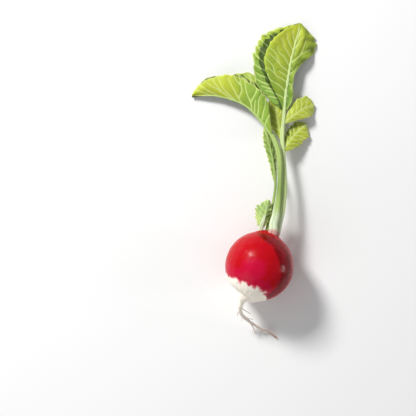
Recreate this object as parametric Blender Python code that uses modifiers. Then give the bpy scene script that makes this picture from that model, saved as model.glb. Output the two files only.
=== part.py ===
"""A red globe radish with its leafy top, lying on its side.

The origin is the middle of the small flat spot under the globe. +Z is up from the surface that the
radish lies on, and +Y runs along the leaves. The tables hold millimetres, and constants that are
times MM hold metres. Every leaf is a solid of its own.
"""

import math

import bmesh
import bpy
import numpy as np
from mathutils import Matrix, Vector

MM = 0.001

# The globe and its tail
GLOBE_RADIUS = 16.4 * MM
FLAT_SPOT_DEPTH = 0.3 * MM
AXIS_LEAN = math.radians(24)
GLOBE_TURNS = 40
GLOBE_RINGS = 20
ROUND_END = math.radians(148)
# Below the round part: distance along the axis from the globe's centre, and the radius there.
NECK_PROFILE = [(-15.3, 5.9), (-16.3, 3.8), (-17.2, 2.5), (-18.3, 1.7), (-19.4, 1.2), (-19.6, 0)]
# The neck leans sideways by NECK_SHIFT, from this far below the centre and over this length.
NECK_SHIFT = 1.0 * MM
NECK_SHIFT_START = 0.75 * GLOBE_RADIUS
NECK_SHIFT_LENGTH = 0.3 * GLOBE_RADIUS
TAIL_POINTS = 19
TAIL_ROUTE = [(-5.4, -12.2, 16.1), (-8.0, -16.8, 15.5), (-9.2, -20.2, 13.2), (-8.2, -23.4, 9.6),
              (-5.4, -26.2, 6.2), (-1.8, -28.8, 3.8), (1.7, -31.1, 2.4), (4.6, -31.9, 1.6),
              (9.0, -35.2, 0.8)]
TAIL_RADII = [1.7, 1.25, 0.9, 0.72, 0.64, 0.58, 0.5, 0.42, 0.3]
ROOTLET_RADIUS = 0.3 * MM
ROOTLET_POINTS = 5
ROOTLET_SAG = 0.4
ROOTLET_LOWEST = 0.6
# Each rootlet: its place along the tail, then how far its end lies from its foot.
ROOTLETS = [(0.22, (-1.3, -4.8, -3.4)), (0.24, (5.4, -3.6, -4.6)), (0.43, (4.4, -1.4, -3.0)),
            (0.56, (3.2, -6.2, -2.6))]

# The leaves: their stalks are a little wider than thick, and their blades are thin sheets
LEAF_GAP = 0.4 * MM
STAND_OUT = 1.4 * MM
STALK_FLATNESS = 0.72
NARROW_FLATNESS = 0.9
BLADE_THICKNESS = 0.7 * MM
BLADE_FLOOR = 0.5 * BLADE_THICKNESS
BLADE_COLUMNS = 14
LEAFLET_LEAN = 0.35
LEAFLET_POINTS = 16
LEAFLET_ROWS = 10
LEAFLET_COLUMNS = 6
LEAFLET_TEETH = 4
LEAFLET_TOOTH = 0.06
LEAFLET_WAVE = 0.5 * MM
LEAFLET_WAVE_TURN = 9
LEAFLET_WAVE_START = 2
# How late across its width each kind of blade bends towards its margin: 1 is an even slope.
LEAFLET_BEND = 1.5
UPRIGHT_BEND = 1.3
ARCHED_BEND = 0.8

# The upright leaf. In each table the first number is the place along its end lobe, from 0 to 1.
UPRIGHT_FOOT = (0.9, -1.9)
UPRIGHT_ROUTE = [(9.3, 20.4, 14.0), (10.7, 25.6, 13.1), (11.6, 31.7, 11.9), (12.1, 38.4, 10.8),
                 (12.2, 45.1, 9.8), (11.8, 51.8, 8.8), (11.2, 62.2, 7.6), (12.0, 72.1, 6.9),
                 (12.9, 82.1, 6.5), (15.1, 96.5, 6.2), (17.3, 106.1, 5.2), (20.2, 117.1, 2.4)]
UPRIGHT_RADII = [1.9, 1.75, 1.5, 1.4, 1.35, 1.05, 1.0, 1.05, 1.0, 0.9, 0.8, 0.7, 0.62, 0.55, 0.5,
                 0.45, 0.42, 0.4]
STALK_POINTS = 46
UPRIGHT_LOBE_START = 0.585
UPRIGHT_LEAN = 0.66
UPRIGHT_OUTER = [(0, 5.0), (0.05, 12.0), (0.19, 16.8), (0.41, 17.8), (0.6, 16.3), (0.8, 11.4),
                 (0.93, 5.2), (1, 0.5)]
UPRIGHT_CREST = [(0, 1.0), (0.06, 1.6), (0.1, 3.6), (0.17, 7.4), (0.26, 11.0), (0.42, 12.6),
                 (0.55, 11.8), (0.8, 7.8), (0.93, 3.6), (1, 0.3)]
UPRIGHT_RIGHT = [(0, 1.2), (0.05, 2.9), (0.26, 2.8), (0.4, 3.2), (0.49, 5.4), (0.56, 8.8),
                 (0.66, 10.2), (0.8, 9.2), (0.92, 5.2), (1, 0.5)]
UPRIGHT_RIB = [(0, 6.9), (0.3, 6.5), (0.62, 6.2), (0.8, 5.3), (1, 2.4)]
UPRIGHT_RIGHT_EDGE = [(0, 6.4), (0.35, 6.0), (0.5, 4.2), (0.62, 0.9), (0.8, 0.6), (1, 1.8)]
UPRIGHT_OUTER_EDGE = [(0, 5.6), (0.08, 2.6), (0.3, 1.2), (0.5, 0.5), (0.7, 0.6), (1, 1.8)]
UPRIGHT_BOW = 1.0 * MM
UPRIGHT_ROWS = 26
# For each margin: how many teeth it has, and how deep they are as a share of its half's width.
UPRIGHT_RIGHT_TEETH = (6, 0.03)
UPRIGHT_CREST_TEETH = (7, 0.02)
UPRIGHT_OUTER_TEETH = (5, 0.025)
PLEAT_RISE = 2.4 * MM
PLEAT_DROP = 4.4 * MM
PLEAT_UNDERCUT = 0.7 * MM
PLEAT_CLEARANCE = 0.3 * MM
# The pleat is at its full depth from 1 / PLEAT_DEEPENS along the lobe to 1 / PLEAT_FADES from its end.
PLEAT_DEEPENS = 3.5
PLEAT_FADES = 4
# How far across the left half the folds of its pleat lie, from the rib at 0 to the margin at 1.
PLEAT_PLACES = [0, 0.28, 0.52, 0.62, 0.72, 1]

# The side leaflets: each one's own vein, its half widths, and the heights of its vein and margin.
LEFT_LEAFLET = {"route": [(11.5, 60.0, 7.3), (10.0, 65.8, 6.3), (8.8, 71.6, 6.0), (9.0, 76.6, 5.9)],
                "left": [(0, 0.5), (0.25, 3.0), (0.6, 4.4), (0.85, 3.0), (1, 0.5)],
                "right": [(0, 0.5), (0.4, 1.8), (0.8, 2.2), (1, 0.5)],
                "vein": [(0, 7.3), (0.4, 6.3), (1, 5.9)],
                "edge": [(0, 6.8), (0.5, 5.6), (1, 5.7)]}
UPPER_LEAFLET = {"route": [(12.2, 68.8, 7.0), (17.6, 73.2, 6.6), (22.4, 76.2, 4.4), (26.8, 77.4, 1.6)],
                 "left": [(0, 0.6), (0.3, 3.8), (0.65, 5.4), (0.88, 4.6), (1, 0.7)],
                 "right": [(0, 0.6), (0.25, 3.0), (0.65, 4.8), (0.88, 4.4), (1, 0.7)],
                 "vein": [(0, 7.0), (0.4, 6.6), (0.7, 4.4), (1, 1.6)],
                 "edge": [(0, 6.6), (0.4, 5.8), (0.75, 2.6), (1, 0.7)]}
LOWER_LEAFLET = {"route": [(11.5, 55.2, 8.3), (14.4, 59.6, 6.4), (18.2, 64.2, 3.8), (23.0, 68.4, 2.0)],
                 "left": [(0, 0.6), (0.25, 2.8), (0.6, 4.2), (0.88, 3.0), (1, 0.6)],
                 "right": [(0, 1.2), (0.15, 3.9), (0.55, 5.2), (0.88, 4.0), (1, 0.6)],
                 "vein": [(0, 8.3), (0.35, 6.4), (0.7, 3.8), (1, 2.0)],
                 "edge": [(0, 7.6), (0.35, 4.4), (0.7, 2.2), (1, 0.8)]}

# The arched leaf, whose two halves are folded over to the same side of its rib
ARCHED_FOOT = (-0.9, 1.8)
ARCHED_ROUTE = [(6.6, 20.4, 17.3), (8.0, 25.4, 16.2), (9.0, 31.7, 14.9), (9.8, 41.0, 13.2),
                (9.7, 51.8, 11.4), (8.1, 58.6, 10.6), (4.6, 65.3, 9.6), (-2.9, 74.2, 7.9),
                (-7.7, 78.0, 6.8), (-14.1, 80.5, 5.4), (-20.6, 82.0, 4.4), (-26.9, 82.3, 3.3),
                (-32.2, 82.2, 2.2)]
ARCHED_RADII = [2.2, 2.0, 1.7, 1.3, 1.1, 1.1, 1.2, 1.25, 1.2, 1.05, 0.9, 0.8, 0.7, 0.6, 0.5, 0.42,
                0.4, 0.4]
ARCHED_LOBE_START = 0.53
ARCHED_LEAN = 0.45
ARCHED_FRONT = [(0, 0.6), (0.06, 2.6), (0.12, 5.6), (0.18, 9.2), (0.34, 9.9), (0.44, 10.2),
                (0.55, 11.2), (0.66, 10.2), (0.76, 8.4), (0.86, 6.4), (0.96, 2.8), (1, 0.5)]
ARCHED_BACK = [(0, 0.6), (0.15, 2.4), (0.34, 7.4), (0.42, 11.2), (0.5, 13.6), (0.6, 10.8),
               (0.7, 9.6), (0.8, 9.0), (0.9, 5.9), (1, 0.5)]
ARCHED_RIB = [(0, 9.6), (0.25, 8.2), (0.45, 6.4), (0.6, 5.2), (0.8, 3.9), (1, 2.2)]
ARCHED_FRONT_EDGE = [(0, 10.0), (0.15, 11.2), (0.4, 10.6), (0.6, 8.4), (0.8, 5.8), (1, 2.4)]
ARCHED_BACK_EDGE = [(0, 8.2), (0.2, 6.2), (0.36, 2.2), (0.5, 0.7), (0.8, 0.5), (1, 1.6)]
ARCHED_BOW = 0.9 * MM
ARCHED_WAVE = 0.5 * MM
ARCHED_WAVE_TURN = 24
ARCHED_ROWS = 28
ARCHED_FRONT_TEETH = (8, 0.025)
ARCHED_BACK_TEETH = (7, 0.02)
BACK_DROP = 1.6 * MM
BACK_TUCK = 0.9 * MM
BACK_TUCK_WIDTH = 0.25

# The narrow leaf and the small base leaf, whose blades lie along the ends of their stalks
NARROW_FOOT = (-3.4, -0.9)
NARROW_ROUTE = [(4.3, 20.0, 14.6), (5.4, 24.9, 13.4), (6.9, 31.6, 11.6), (7.9, 39.0, 9.6),
                (7.3, 47.0, 7.8), (5.9, 55.0, 6.2), (4.3, 61.4, 5.2), (2.9, 66.4, 4.8)]
NARROW_RADII = [0.95, 0.8, 0.7, 0.65, 0.65, 0.6, 0.55, 0.5, 0.45, 0.4, 0.4]
NARROW_POINTS = 30
NARROW_BLADE_START = 17
NARROW_ROWS = 14
NARROW_TEETH = 5
NARROW_BLADE = {"left": [(0, 0.5), (0.2, 1.5), (0.5, 2.3), (0.8, 2.0), (1, 0.5)],
                "right": [(0, 0.5), (0.25, 1.4), (0.6, 2.4), (0.85, 1.8), (1, 0.5)],
                "vein": [(0, 7.6), (0.5, 5.8), (1, 4.8)],
                "edge": [(0, 7.2), (0.5, 4.6), (1, 4.4)]}
SMALL_FOOT = (-6.0, 0.9)
SMALL_ROUTE = [(1.9, 22.1, 17.4), (3.2, 27.2, 16.6), (4.6, 31.6, 15.2)]
SMALL_RADII = [1.3, 1.1, 0.9, 0.7, 0.55, 0.45, 0.4]
SMALL_POINTS = 14
SMALL_ROWS = 12
SMALL_BLADE = {"left": [(0, 1.6), (0.3, 4.2), (0.5, 4.9), (0.75, 3.4), (1, 0.8)],
               "right": [(0, 1.2), (0.3, 1.4), (0.6, 1.7), (0.85, 1.2), (1, 0.4)],
               "vein": [(0, 17.1), (0.4, 17.4), (1, 15.2)],
               "edge": [(0, 16.6), (0.5, 15.8), (1, 14.9)]}

SKIN_RED = (0.45, 0.005, 0.012, 1)
LEAF_GREEN = (0.25, 0.42, 0.05, 1)
PALE_GREEN = (0.40, 0.55, 0.14, 1)

globe_centre = Vector((0, 0, GLOBE_RADIUS - FLAT_SPOT_DEPTH))
globe_axis = Vector((math.sin(AXIS_LEAN), math.cos(AXIS_LEAN), 0))


def clear_scene():
    for obj in list(bpy.data.objects):
        bpy.data.objects.remove(obj, do_unlink=True)


def collection(name, hidden=False):
    made = bpy.data.collections.new(name)
    made.hide_render = hidden
    bpy.context.scene.collection.children.link(made)
    return made


def material(name, colour, roughness):
    made = bpy.data.materials.new(name)
    made.use_nodes = True
    shader = made.node_tree.nodes["Principled BSDF"]
    shader.inputs["Base Color"].default_value = colour
    shader.inputs["Roughness"].default_value = roughness
    shader.inputs["Metallic"].default_value = 0
    return made


def smooth_path(waypoints, count):
    """count points at even steps along a smooth curve through the waypoints, which are in millimetres."""
    knots = np.array(waypoints, dtype=float) * MM
    ends = np.vstack([2 * knots[0] - knots[1], knots, 2 * knots[-1] - knots[-2]])
    fine = []
    for before, start, end, after in zip(ends, ends[1:], ends[2:], ends[3:]):
        for t in np.linspace(0, 1, 20, endpoint=False):
            fine.append(0.5 * (2 * start + (end - before) * t
                               + (2 * before - 5 * start + 4 * end - after) * t ** 2
                               + (3 * start - before - 3 * end + after) * t ** 3))
    fine.append(knots[-1])
    fine = np.array(fine)
    lengths = np.concatenate([[0], np.cumsum(np.linalg.norm(np.diff(fine, axis=0), axis=1))])
    steps = np.linspace(0, lengths[-1], count)
    return np.column_stack([np.interp(steps, lengths, fine[:, k]) for k in range(3)])


def smooth_values(values, count):
    return np.interp(np.linspace(0, 1, count), np.linspace(0, 1, len(values)), values) * MM


def profile_at(profile, place):
    """The value at this place of a list of (place, value) pairs, read along an eased curve, in metres."""
    places = [pair[0] for pair in profile]
    values = [pair[1] for pair in profile]
    index = min(max(np.searchsorted(places, place) - 1, 0), len(places) - 2)
    part = (place - places[index]) / (places[index + 1] - places[index])
    eased = 0.5 * part + 0.5 * part * part * (3 - 2 * part)
    return (values[index] + (values[index + 1] - values[index]) * eased) * MM


def tube(name, path, radii, target, flatness=1.0, sides_level=2):
    """A closed round mesh tube along the path, thinned in height to flatness."""
    curve = bpy.data.curves.new(name, "CURVE")
    curve.dimensions = "3D"
    curve.bevel_depth = 1.0
    curve.bevel_resolution = sides_level
    curve.resolution_u = 1
    curve.use_fill_caps = True
    spline = curve.splines.new("POLY")
    spline.points.add(len(path) - 1)
    for point, place, radius in zip(spline.points, path, radii):
        point.co = (place[0], place[1], place[2] / flatness, 1)
        point.radius = radius
    guide = bpy.data.objects.new(name + "_guide", curve)
    target.objects.link(guide)
    bpy.context.view_layer.update()
    depsgraph = bpy.context.evaluated_depsgraph_get()
    mesh = bpy.data.meshes.new_from_object(guide.evaluated_get(depsgraph))
    bpy.data.objects.remove(guide, do_unlink=True)
    mesh.transform(Matrix.Diagonal((1, 1, flatness, 1)))
    shape = bmesh.new()
    shape.from_mesh(mesh)
    bmesh.ops.remove_doubles(shape, verts=shape.verts, dist=0.001 * MM)
    bmesh.ops.recalc_face_normals(shape, faces=shape.faces)
    shape.to_mesh(mesh)
    shape.free()
    made = bpy.data.objects.new(name, mesh)
    target.objects.link(made)
    return made


def finish_node(obj, look, sharp_angle=40):
    obj.data.materials.clear()
    obj.data.materials.append(look)
    obj.data.shade_smooth()
    obj.data.set_sharp_from_angle(angle=math.radians(sharp_angle))


def apply_modifiers(obj):
    bpy.context.view_layer.update()
    depsgraph = bpy.context.evaluated_depsgraph_get()
    mesh = bpy.data.meshes.new_from_object(obj.evaluated_get(depsgraph))
    obj.modifiers.clear()
    obj.data = mesh


def join_solids(base, extras):
    """Joins the objects of the collection extras to base as one body, and removes them."""
    union = base.modifiers.new("join", "BOOLEAN")
    union.operation = "UNION"
    union.operand_type = "COLLECTION"
    union.collection = extras
    union.solver = "MANIFOLD"
    apply_modifiers(base)
    for obj in list(extras.objects):
        bpy.data.objects.remove(obj, do_unlink=True)


def globe_profile():
    """Points from the crown down to the neck of the tail, as (distance along the axis, radius)."""
    round_part = [(GLOBE_RADIUS * math.cos(angle), GLOBE_RADIUS * math.sin(angle))
                  for angle in np.linspace(0, ROUND_END, GLOBE_RINGS)]
    return round_part + [(along * MM, radius * MM) for along, radius in NECK_PROFILE]


def make_root(parts, cutters, looks):
    rim = globe_profile()
    mesh = bpy.data.meshes.new("root")
    mesh.from_pydata([(radius, 0, along) for along, radius in rim],
                     [(k, k + 1) for k in range(len(rim) - 1)], [])
    root = bpy.data.objects.new("root", mesh)
    parts.objects.link(root)
    turn = root.modifiers.new("turn", "SCREW")
    turn.steps = GLOBE_TURNS
    turn.render_steps = GLOBE_TURNS
    turn.use_merge_vertices = True
    turn.merge_threshold = 0.01 * MM
    apply_modifiers(root)

    for vertex in root.data.vertices:
        low = min(max((-vertex.co.z - NECK_SHIFT_START) / NECK_SHIFT_LENGTH, 0), 1)
        vertex.co.x -= NECK_SHIFT * low
    lay_down = Matrix.Translation(globe_centre) @ Matrix.Rotation(-AXIS_LEAN, 4, "Z") @ \
        Matrix.Rotation(math.radians(-90), 4, "X")
    root.data.transform(lay_down)

    extras = collection("root_extras")
    path = smooth_path(TAIL_ROUTE, TAIL_POINTS)
    tube("tail", path, smooth_values(TAIL_RADII, TAIL_POINTS), extras)
    for number, (place, reach) in enumerate(ROOTLETS):
        foot = path[round(place * (TAIL_POINTS - 1))] / MM
        end = foot + np.array(reach)
        end[2] = max(end[2], ROOTLET_LOWEST)
        middle = 0.5 * (foot + end) - np.array((0, 0, ROOTLET_SAG))
        hair = smooth_path([foot, middle, end], ROOTLET_POINTS)
        tube(f"rootlet_{number}", hair, [ROOTLET_RADIUS] * ROOTLET_POINTS, extras, sides_level=0)
    join_solids(root, extras)

    bpy.ops.mesh.primitive_cube_add(size=2 * GLOBE_RADIUS, location=(0, 0, -GLOBE_RADIUS))
    cutter = bpy.context.object
    cutter.name = "flat_spot_cutter"
    cutter.display_type = "WIRE"
    cutter.hide_render = True
    for owner in list(cutter.users_collection):
        owner.objects.unlink(cutter)
    cutters.objects.link(cutter)
    cut = root.modifiers.new("flat_spot", "BOOLEAN")
    cut.operation = "DIFFERENCE"
    cut.object = cutter
    cut.solver = "EXACT"
    finish_node(root, looks["skin"])
    return root


def crown_start(foot):
    """The first two points, in millimetres, of a stalk that leaves the crown squarely at its foot."""
    across, height = (value * MM for value in foot)
    sideways = Vector((globe_axis.y, -globe_axis.x, 0))
    outward = (globe_axis * math.sqrt(GLOBE_RADIUS ** 2 - across ** 2 - height ** 2)
               + sideways * across + Vector((0, 0, height))).normalized()
    start = globe_centre + outward * (GLOBE_RADIUS + LEAF_GAP)
    return [tuple(start / MM), tuple((start + outward * STAND_OUT) / MM)]


def frame_on(path, place):
    """The point, forward direction and level right-hand direction at this place, 0 to 1, along a path."""
    at = place * (len(path) - 1)
    index = min(int(at), len(path) - 2)
    point = path[index] + (path[index + 1] - path[index]) * (at - index)
    low = path[max(index - 1, 0)]
    high = path[min(index + 2, len(path) - 1)]
    forward = (high - low) / np.linalg.norm(high - low)
    right = np.array((forward[1], -forward[0], 0))
    return point, forward, right / np.linalg.norm(right)


def blade(name, path, section, lean, rows, columns, target):
    """A thin sheet along the path. section gives how far across and how high each of its points is."""
    shape = bmesh.new()
    bmesh.ops.create_grid(shape, x_segments=columns, y_segments=rows, size=1)
    for vertex in shape.verts:
        along = (vertex.co.y + 1) / 2
        point, forward, right = frame_on(path, along)
        across, height = section(along, vertex.co.x)
        sweep = abs(across) * lean * (1 - along ** 2)
        place = point + right * across + forward * np.array((1, 1, 0)) * sweep
        place[2] = max(height, BLADE_FLOOR)
        vertex.co = place
    bmesh.ops.triangulate(shape, faces=shape.faces)
    mesh = bpy.data.meshes.new(name)
    shape.to_mesh(mesh)
    shape.free()
    made = bpy.data.objects.new(name, mesh)
    target.objects.link(made)
    thicken = made.modifiers.new("thickness", "SOLIDIFY")
    thicken.thickness = BLADE_THICKNESS
    thicken.offset = 0
    apply_modifiers(made)
    return made


def teeth(along, count, depth):
    """A margin's waved, blunt-toothed outline: a factor near 1."""
    return 1 + depth * (math.sin(2 * math.pi * count * along) + 0.4 * math.sin(4 * math.pi * count * along))


def eased(value):
    value = min(max(value, 0), 1)
    return value * value * (3 - 2 * value)


def leaflet(name, path, sizes, target, rows=LEAFLET_ROWS, tooth_count=LEAFLET_TEETH):
    """A side leaflet, or the blade of a small leaf, on its own vein."""

    def section(along, side):
        out = abs(side)
        width = profile_at(sizes["right"] if side > 0 else sizes["left"], along)
        across = side * width * teeth(along, tooth_count, LEAFLET_TOOTH)
        vein = profile_at(sizes["vein"], along)
        edge = profile_at(sizes["edge"], along)
        wave = LEAFLET_WAVE * out ** 2 * math.sin(LEAFLET_WAVE_TURN * along + LEAFLET_WAVE_START)
        return across, vein + (edge - vein) * out ** LEAFLET_BEND + wave

    return blade(name, path, section, LEAFLET_LEAN, rows, LEAFLET_COLUMNS, target)


def upright_right_half(along, out):
    """The narrow right half of the upright leaf's end lobe, bowed and bent down at its margin."""
    rib = profile_at(UPRIGHT_RIB, along)
    edge = profile_at(UPRIGHT_RIGHT_EDGE, along)
    bow = UPRIGHT_BOW * math.sin(math.pi * out) * eased(3 * along - 1)
    across = out * profile_at(UPRIGHT_RIGHT, along) * teeth(along, *UPRIGHT_RIGHT_TEETH)
    return across, rib + (edge - rib) * out ** UPRIGHT_BEND + bow


def upright_left_half(along, out):
    """The left half of the end lobe, which folds under itself in a pleat."""
    rib = profile_at(UPRIGHT_RIB, along)
    crest = profile_at(UPRIGHT_CREST, along) * teeth(along, *UPRIGHT_CREST_TEETH)
    outer = profile_at(UPRIGHT_OUTER, along) * teeth(along, *UPRIGHT_OUTER_TEETH)
    depth = eased(PLEAT_DEEPENS * along) * eased(PLEAT_FADES * (1 - along))
    top = rib + PLEAT_RISE * depth
    edge = profile_at(UPRIGHT_OUTER_EDGE, along)
    bottom = max(top - PLEAT_DROP * depth, edge + PLEAT_CLEARANCE)
    under = max(crest - PLEAT_UNDERCUT * depth, 0.5 * crest)
    widths = [0, 0.52 * crest, crest, 0.5 * (crest + under), under + PLEAT_CLEARANCE, outer]
    heights = [rib, rib + 0.7 * (top - rib), top, 0.5 * (top + bottom), bottom, edge]
    return -np.interp(out, PLEAT_PLACES, widths), np.interp(out, PLEAT_PLACES, heights)


def upright_section(along, side):
    return upright_right_half(along, side) if side >= 0 else upright_left_half(along, -side)


def make_upright_leaf(parts, looks):
    extras = collection("upright_extras")
    path = smooth_path(crown_start(UPRIGHT_FOOT) + UPRIGHT_ROUTE, STALK_POINTS)
    leaf = tube("upright_leaf", path, smooth_values(UPRIGHT_RADII, STALK_POINTS), parts, STALK_FLATNESS)
    lobe_path = path[round(UPRIGHT_LOBE_START * (STALK_POINTS - 1)):]
    blade("end_lobe", lobe_path, upright_section, UPRIGHT_LEAN, UPRIGHT_ROWS, BLADE_COLUMNS, extras)
    for name, sizes in (("left", LEFT_LEAFLET), ("upper", UPPER_LEAFLET), ("lower", LOWER_LEAFLET)):
        leaflet(name + "_leaflet", smooth_path(sizes["route"], LEAFLET_POINTS), sizes, extras)
    join_solids(leaf, extras)
    finish_node(leaf, looks["leaf"])
    return leaf


def arched_front_half(along, out):
    """The front half of the arched leaf, which rises from the rib and waves at its margin."""
    rib = profile_at(ARCHED_RIB, along)
    edge = profile_at(ARCHED_FRONT_EDGE, along)
    bow = ARCHED_BOW * math.sin(math.pi * out)
    wave = ARCHED_WAVE * out ** 2 * math.sin(ARCHED_WAVE_TURN * along)
    across = out * profile_at(ARCHED_FRONT, along) * teeth(along, *ARCHED_FRONT_TEETH)
    return across, rib + (edge - rib) * out ** ARCHED_BEND + bow + wave


def arched_back_half(along, out):
    """The back half, which is tucked round under the rib and lies below the front half."""
    rib = profile_at(ARCHED_RIB, along)
    width = profile_at(ARCHED_BACK, along) * teeth(along, *ARCHED_BACK_TEETH)
    edge = profile_at(ARCHED_BACK_EDGE, along)
    low = rib - min(BACK_DROP, 0.6 * (rib - edge)) * eased(out / 0.2)
    tuck = BACK_TUCK * math.sin(math.pi * min(out / BACK_TUCK_WIDTH, 1)) * eased(8 * along)
    return width * out - tuck, low + (edge - low) * eased((out - 0.1) / 0.9)


def arched_section(along, side):
    return arched_front_half(along, side) if side >= 0 else arched_back_half(along, -side)


def make_arched_leaf(parts, looks):
    extras = collection("arched_extras")
    path = smooth_path(crown_start(ARCHED_FOOT) + ARCHED_ROUTE, STALK_POINTS)
    leaf = tube("arched_leaf", path, smooth_values(ARCHED_RADII, STALK_POINTS), parts, STALK_FLATNESS)
    blade_path = path[round(ARCHED_LOBE_START * (STALK_POINTS - 1)):]
    blade("folded_blade", blade_path, arched_section, ARCHED_LEAN, ARCHED_ROWS, BLADE_COLUMNS, extras)
    join_solids(leaf, extras)
    finish_node(leaf, looks["leaf"])
    return leaf


def make_narrow_leaf(parts, looks):
    extras = collection("narrow_extras")
    path = smooth_path(crown_start(NARROW_FOOT) + NARROW_ROUTE, NARROW_POINTS)
    leaf = tube("narrow_leaf", path, smooth_values(NARROW_RADII, NARROW_POINTS), parts, NARROW_FLATNESS)
    vein = smooth_path(path[NARROW_BLADE_START::3] / MM, LEAFLET_POINTS)
    leaflet("narrow_blade", vein, NARROW_BLADE, extras, NARROW_ROWS, NARROW_TEETH)
    join_solids(leaf, extras)
    finish_node(leaf, looks["leaf"])
    return leaf


def make_small_base_leaf(parts, looks):
    extras = collection("small_extras")
    path = smooth_path(crown_start(SMALL_FOOT) + SMALL_ROUTE, SMALL_POINTS)
    leaf = tube("small_base_leaf", path, smooth_values(SMALL_RADII, SMALL_POINTS), parts, STALK_FLATNESS)
    vein = smooth_path(np.vstack([path[1::3], path[-1:]]) / MM, LEAFLET_POINTS)
    leaflet("small_blade", vein, SMALL_BLADE, extras, SMALL_ROWS)
    join_solids(leaf, extras)
    finish_node(leaf, looks["pale"])
    return leaf


clear_scene()
looks = {
    "skin": material("root_skin", SKIN_RED, 0.35),
    "leaf": material("leaf_green", LEAF_GREEN, 0.55),
    "pale": material("leaf_pale", PALE_GREEN, 0.55),
}
radish = collection("red_radish")
cutters = collection("cutters", hidden=True)
make_root(radish, cutters, looks)
make_upright_leaf(radish, looks)
make_arched_leaf(radish, looks)
make_narrow_leaf(radish, looks)
make_small_base_leaf(radish, looks)
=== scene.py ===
import math

import bmesh
import bpy
import numpy as np
from mathutils import Matrix, Vector


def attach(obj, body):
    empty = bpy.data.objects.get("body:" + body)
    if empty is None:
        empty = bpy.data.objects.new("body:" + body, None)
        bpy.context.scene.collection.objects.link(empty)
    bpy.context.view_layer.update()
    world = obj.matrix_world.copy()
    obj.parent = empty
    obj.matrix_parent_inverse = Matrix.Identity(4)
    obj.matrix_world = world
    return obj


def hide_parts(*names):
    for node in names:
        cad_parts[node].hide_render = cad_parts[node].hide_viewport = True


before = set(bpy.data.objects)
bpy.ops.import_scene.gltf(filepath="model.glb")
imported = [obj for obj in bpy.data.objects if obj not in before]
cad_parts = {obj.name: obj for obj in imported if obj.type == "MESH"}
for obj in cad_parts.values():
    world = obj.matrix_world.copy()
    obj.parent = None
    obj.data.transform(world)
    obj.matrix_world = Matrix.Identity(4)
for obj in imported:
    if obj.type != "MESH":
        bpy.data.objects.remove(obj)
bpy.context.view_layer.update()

# The root is one firm round swelling under a thin red skin that turns white below, drawn out into a
# tapering tail. It lies on a small flat spot. All lengths in this file's tables are in millimetres.
MM = 0.001
GLOBE_RADIUS = 16.4
GLOBE_CENTRE = np.array((0, 0, 16.1))
AXIS_LEAN = math.radians(24)
GLOBE_AXIS = np.array((math.sin(AXIS_LEAN), math.cos(AXIS_LEAN), 0))
ACROSS_AXIS = np.array((math.cos(AXIS_LEAN), -math.sin(AXIS_LEAN), 0))
# The neck's places along the axis, below the globe's centre, and how far it leans across.
NECK_BEGINS = 12.3
NECK_MIDDLE = 14.8
NECK_ENDS = 17.2
NECK_SHIFT = 1.0
NECK_TURN = 5
GLOBE_ROWS = 132
TAIL_ROWS = 220
ROOT_AROUND = 200
TAIL_ROUTE = [(-9.2, -20.2, 13.2), (-8.2, -23.4, 9.6), (-5.4, -26.2, 6.2), (-1.8, -28.8, 3.8),
              (1.7, -31.1, 2.4), (4.6, -31.9, 1.6), (9.0, -35.2, 0.8)]
# Distance from where the neck begins, and the radius there.
TAIL_RADII = {0: 10.85, 1.6: 8.7, 3.0: 5.9, 4.0: 3.9, 5.0: 2.65, 6.1: 1.95, 7.3: 1.55, 9.5: 1.2,
              13: 0.95, 18: 0.76, 24: 0.64, 30: 0.52, 36: 0.42, 42: 0.26}
# Where each stalk stands on the crown: across the axis, and up from it.
STALK_FEET = {"upright": (0.9, -1.9), "arched": (-0.9, 1.8), "narrow": (-3.4, -0.9),
              "small": (-6.0, 0.9)}
CROWN_SWELL = 0.8
CROWN_SWELL_WIDTH = 2.6
# How high the globe's slight lumps are, and how wide.
LUMP = 0.16
LUMP_SIZE = 17
FINE_LUMP = 0.04
FINE_LUMP_SIZE = 4.5
# Fine creases run down the neck and out from the crown, placed by the distance along the root.
CREASES = 23
CREASE_DEPTH = 0.09
NECK_CREASE = 31.5
NECK_CREASE_WIDTH = 2.2
CROWN_CREASE_WIDTH = 1.1
TAIL_COLOUR_BEGINS = 34
TAIL_COLOUR_LENGTH = 38


def smooth_path(waypoints, count):
    """count points at even steps along a smooth curve through the waypoints."""
    knots = np.array(waypoints, float)
    ends = np.vstack([2 * knots[0] - knots[1], knots, 2 * knots[-1] - knots[-2]])
    t = np.linspace(0, 1, 24, endpoint=False)[:, None]
    fine = [0.5 * (2 * b + (c - a) * t + (2 * a - 5 * b + 4 * c - d) * t ** 2
                   + (3 * b - a - 3 * c + d) * t ** 3)
            for a, b, c, d in zip(ends, ends[1:], ends[2:], ends[3:])]
    fine = np.vstack(fine + [knots[-1:]])
    lengths = np.append(0, np.cumsum(np.linalg.norm(np.diff(fine, axis=0), axis=1)))
    steps = np.linspace(0, lengths[-1], count)
    return np.column_stack([np.interp(steps, lengths, fine[:, k]) for k in range(3)])


def path_lengths(path):
    return np.append(0, np.cumsum(np.linalg.norm(np.diff(path, axis=0), axis=1)))


def curve_through(knots, values, at):
    """Reads a smooth curve through the values at the knots. values may hold several columns."""
    knots = np.array(knots, float)
    values = np.array(values, float)
    slopes = np.gradient(values, knots, axis=0)
    index = np.clip(np.searchsorted(knots, at, side="right") - 1, 0, len(knots) - 2)
    gap = knots[index + 1] - knots[index]
    t = np.clip((at - knots[index]) / gap, 0, 1)
    if values.ndim > 1:
        gap = gap[:, None]
        t = t[:, None]
    return (values[index] * (2 * t ** 3 - 3 * t ** 2 + 1) + slopes[index] * gap * (t ** 3 - 2 * t ** 2 + t)
            + values[index + 1] * (3 * t ** 2 - 2 * t ** 3) + slopes[index + 1] * gap * (t ** 3 - t ** 2))


def profile(table, at):
    """Reads a smooth curve through a table of values by place."""
    return curve_through(list(table), list(table.values()), at)


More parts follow.
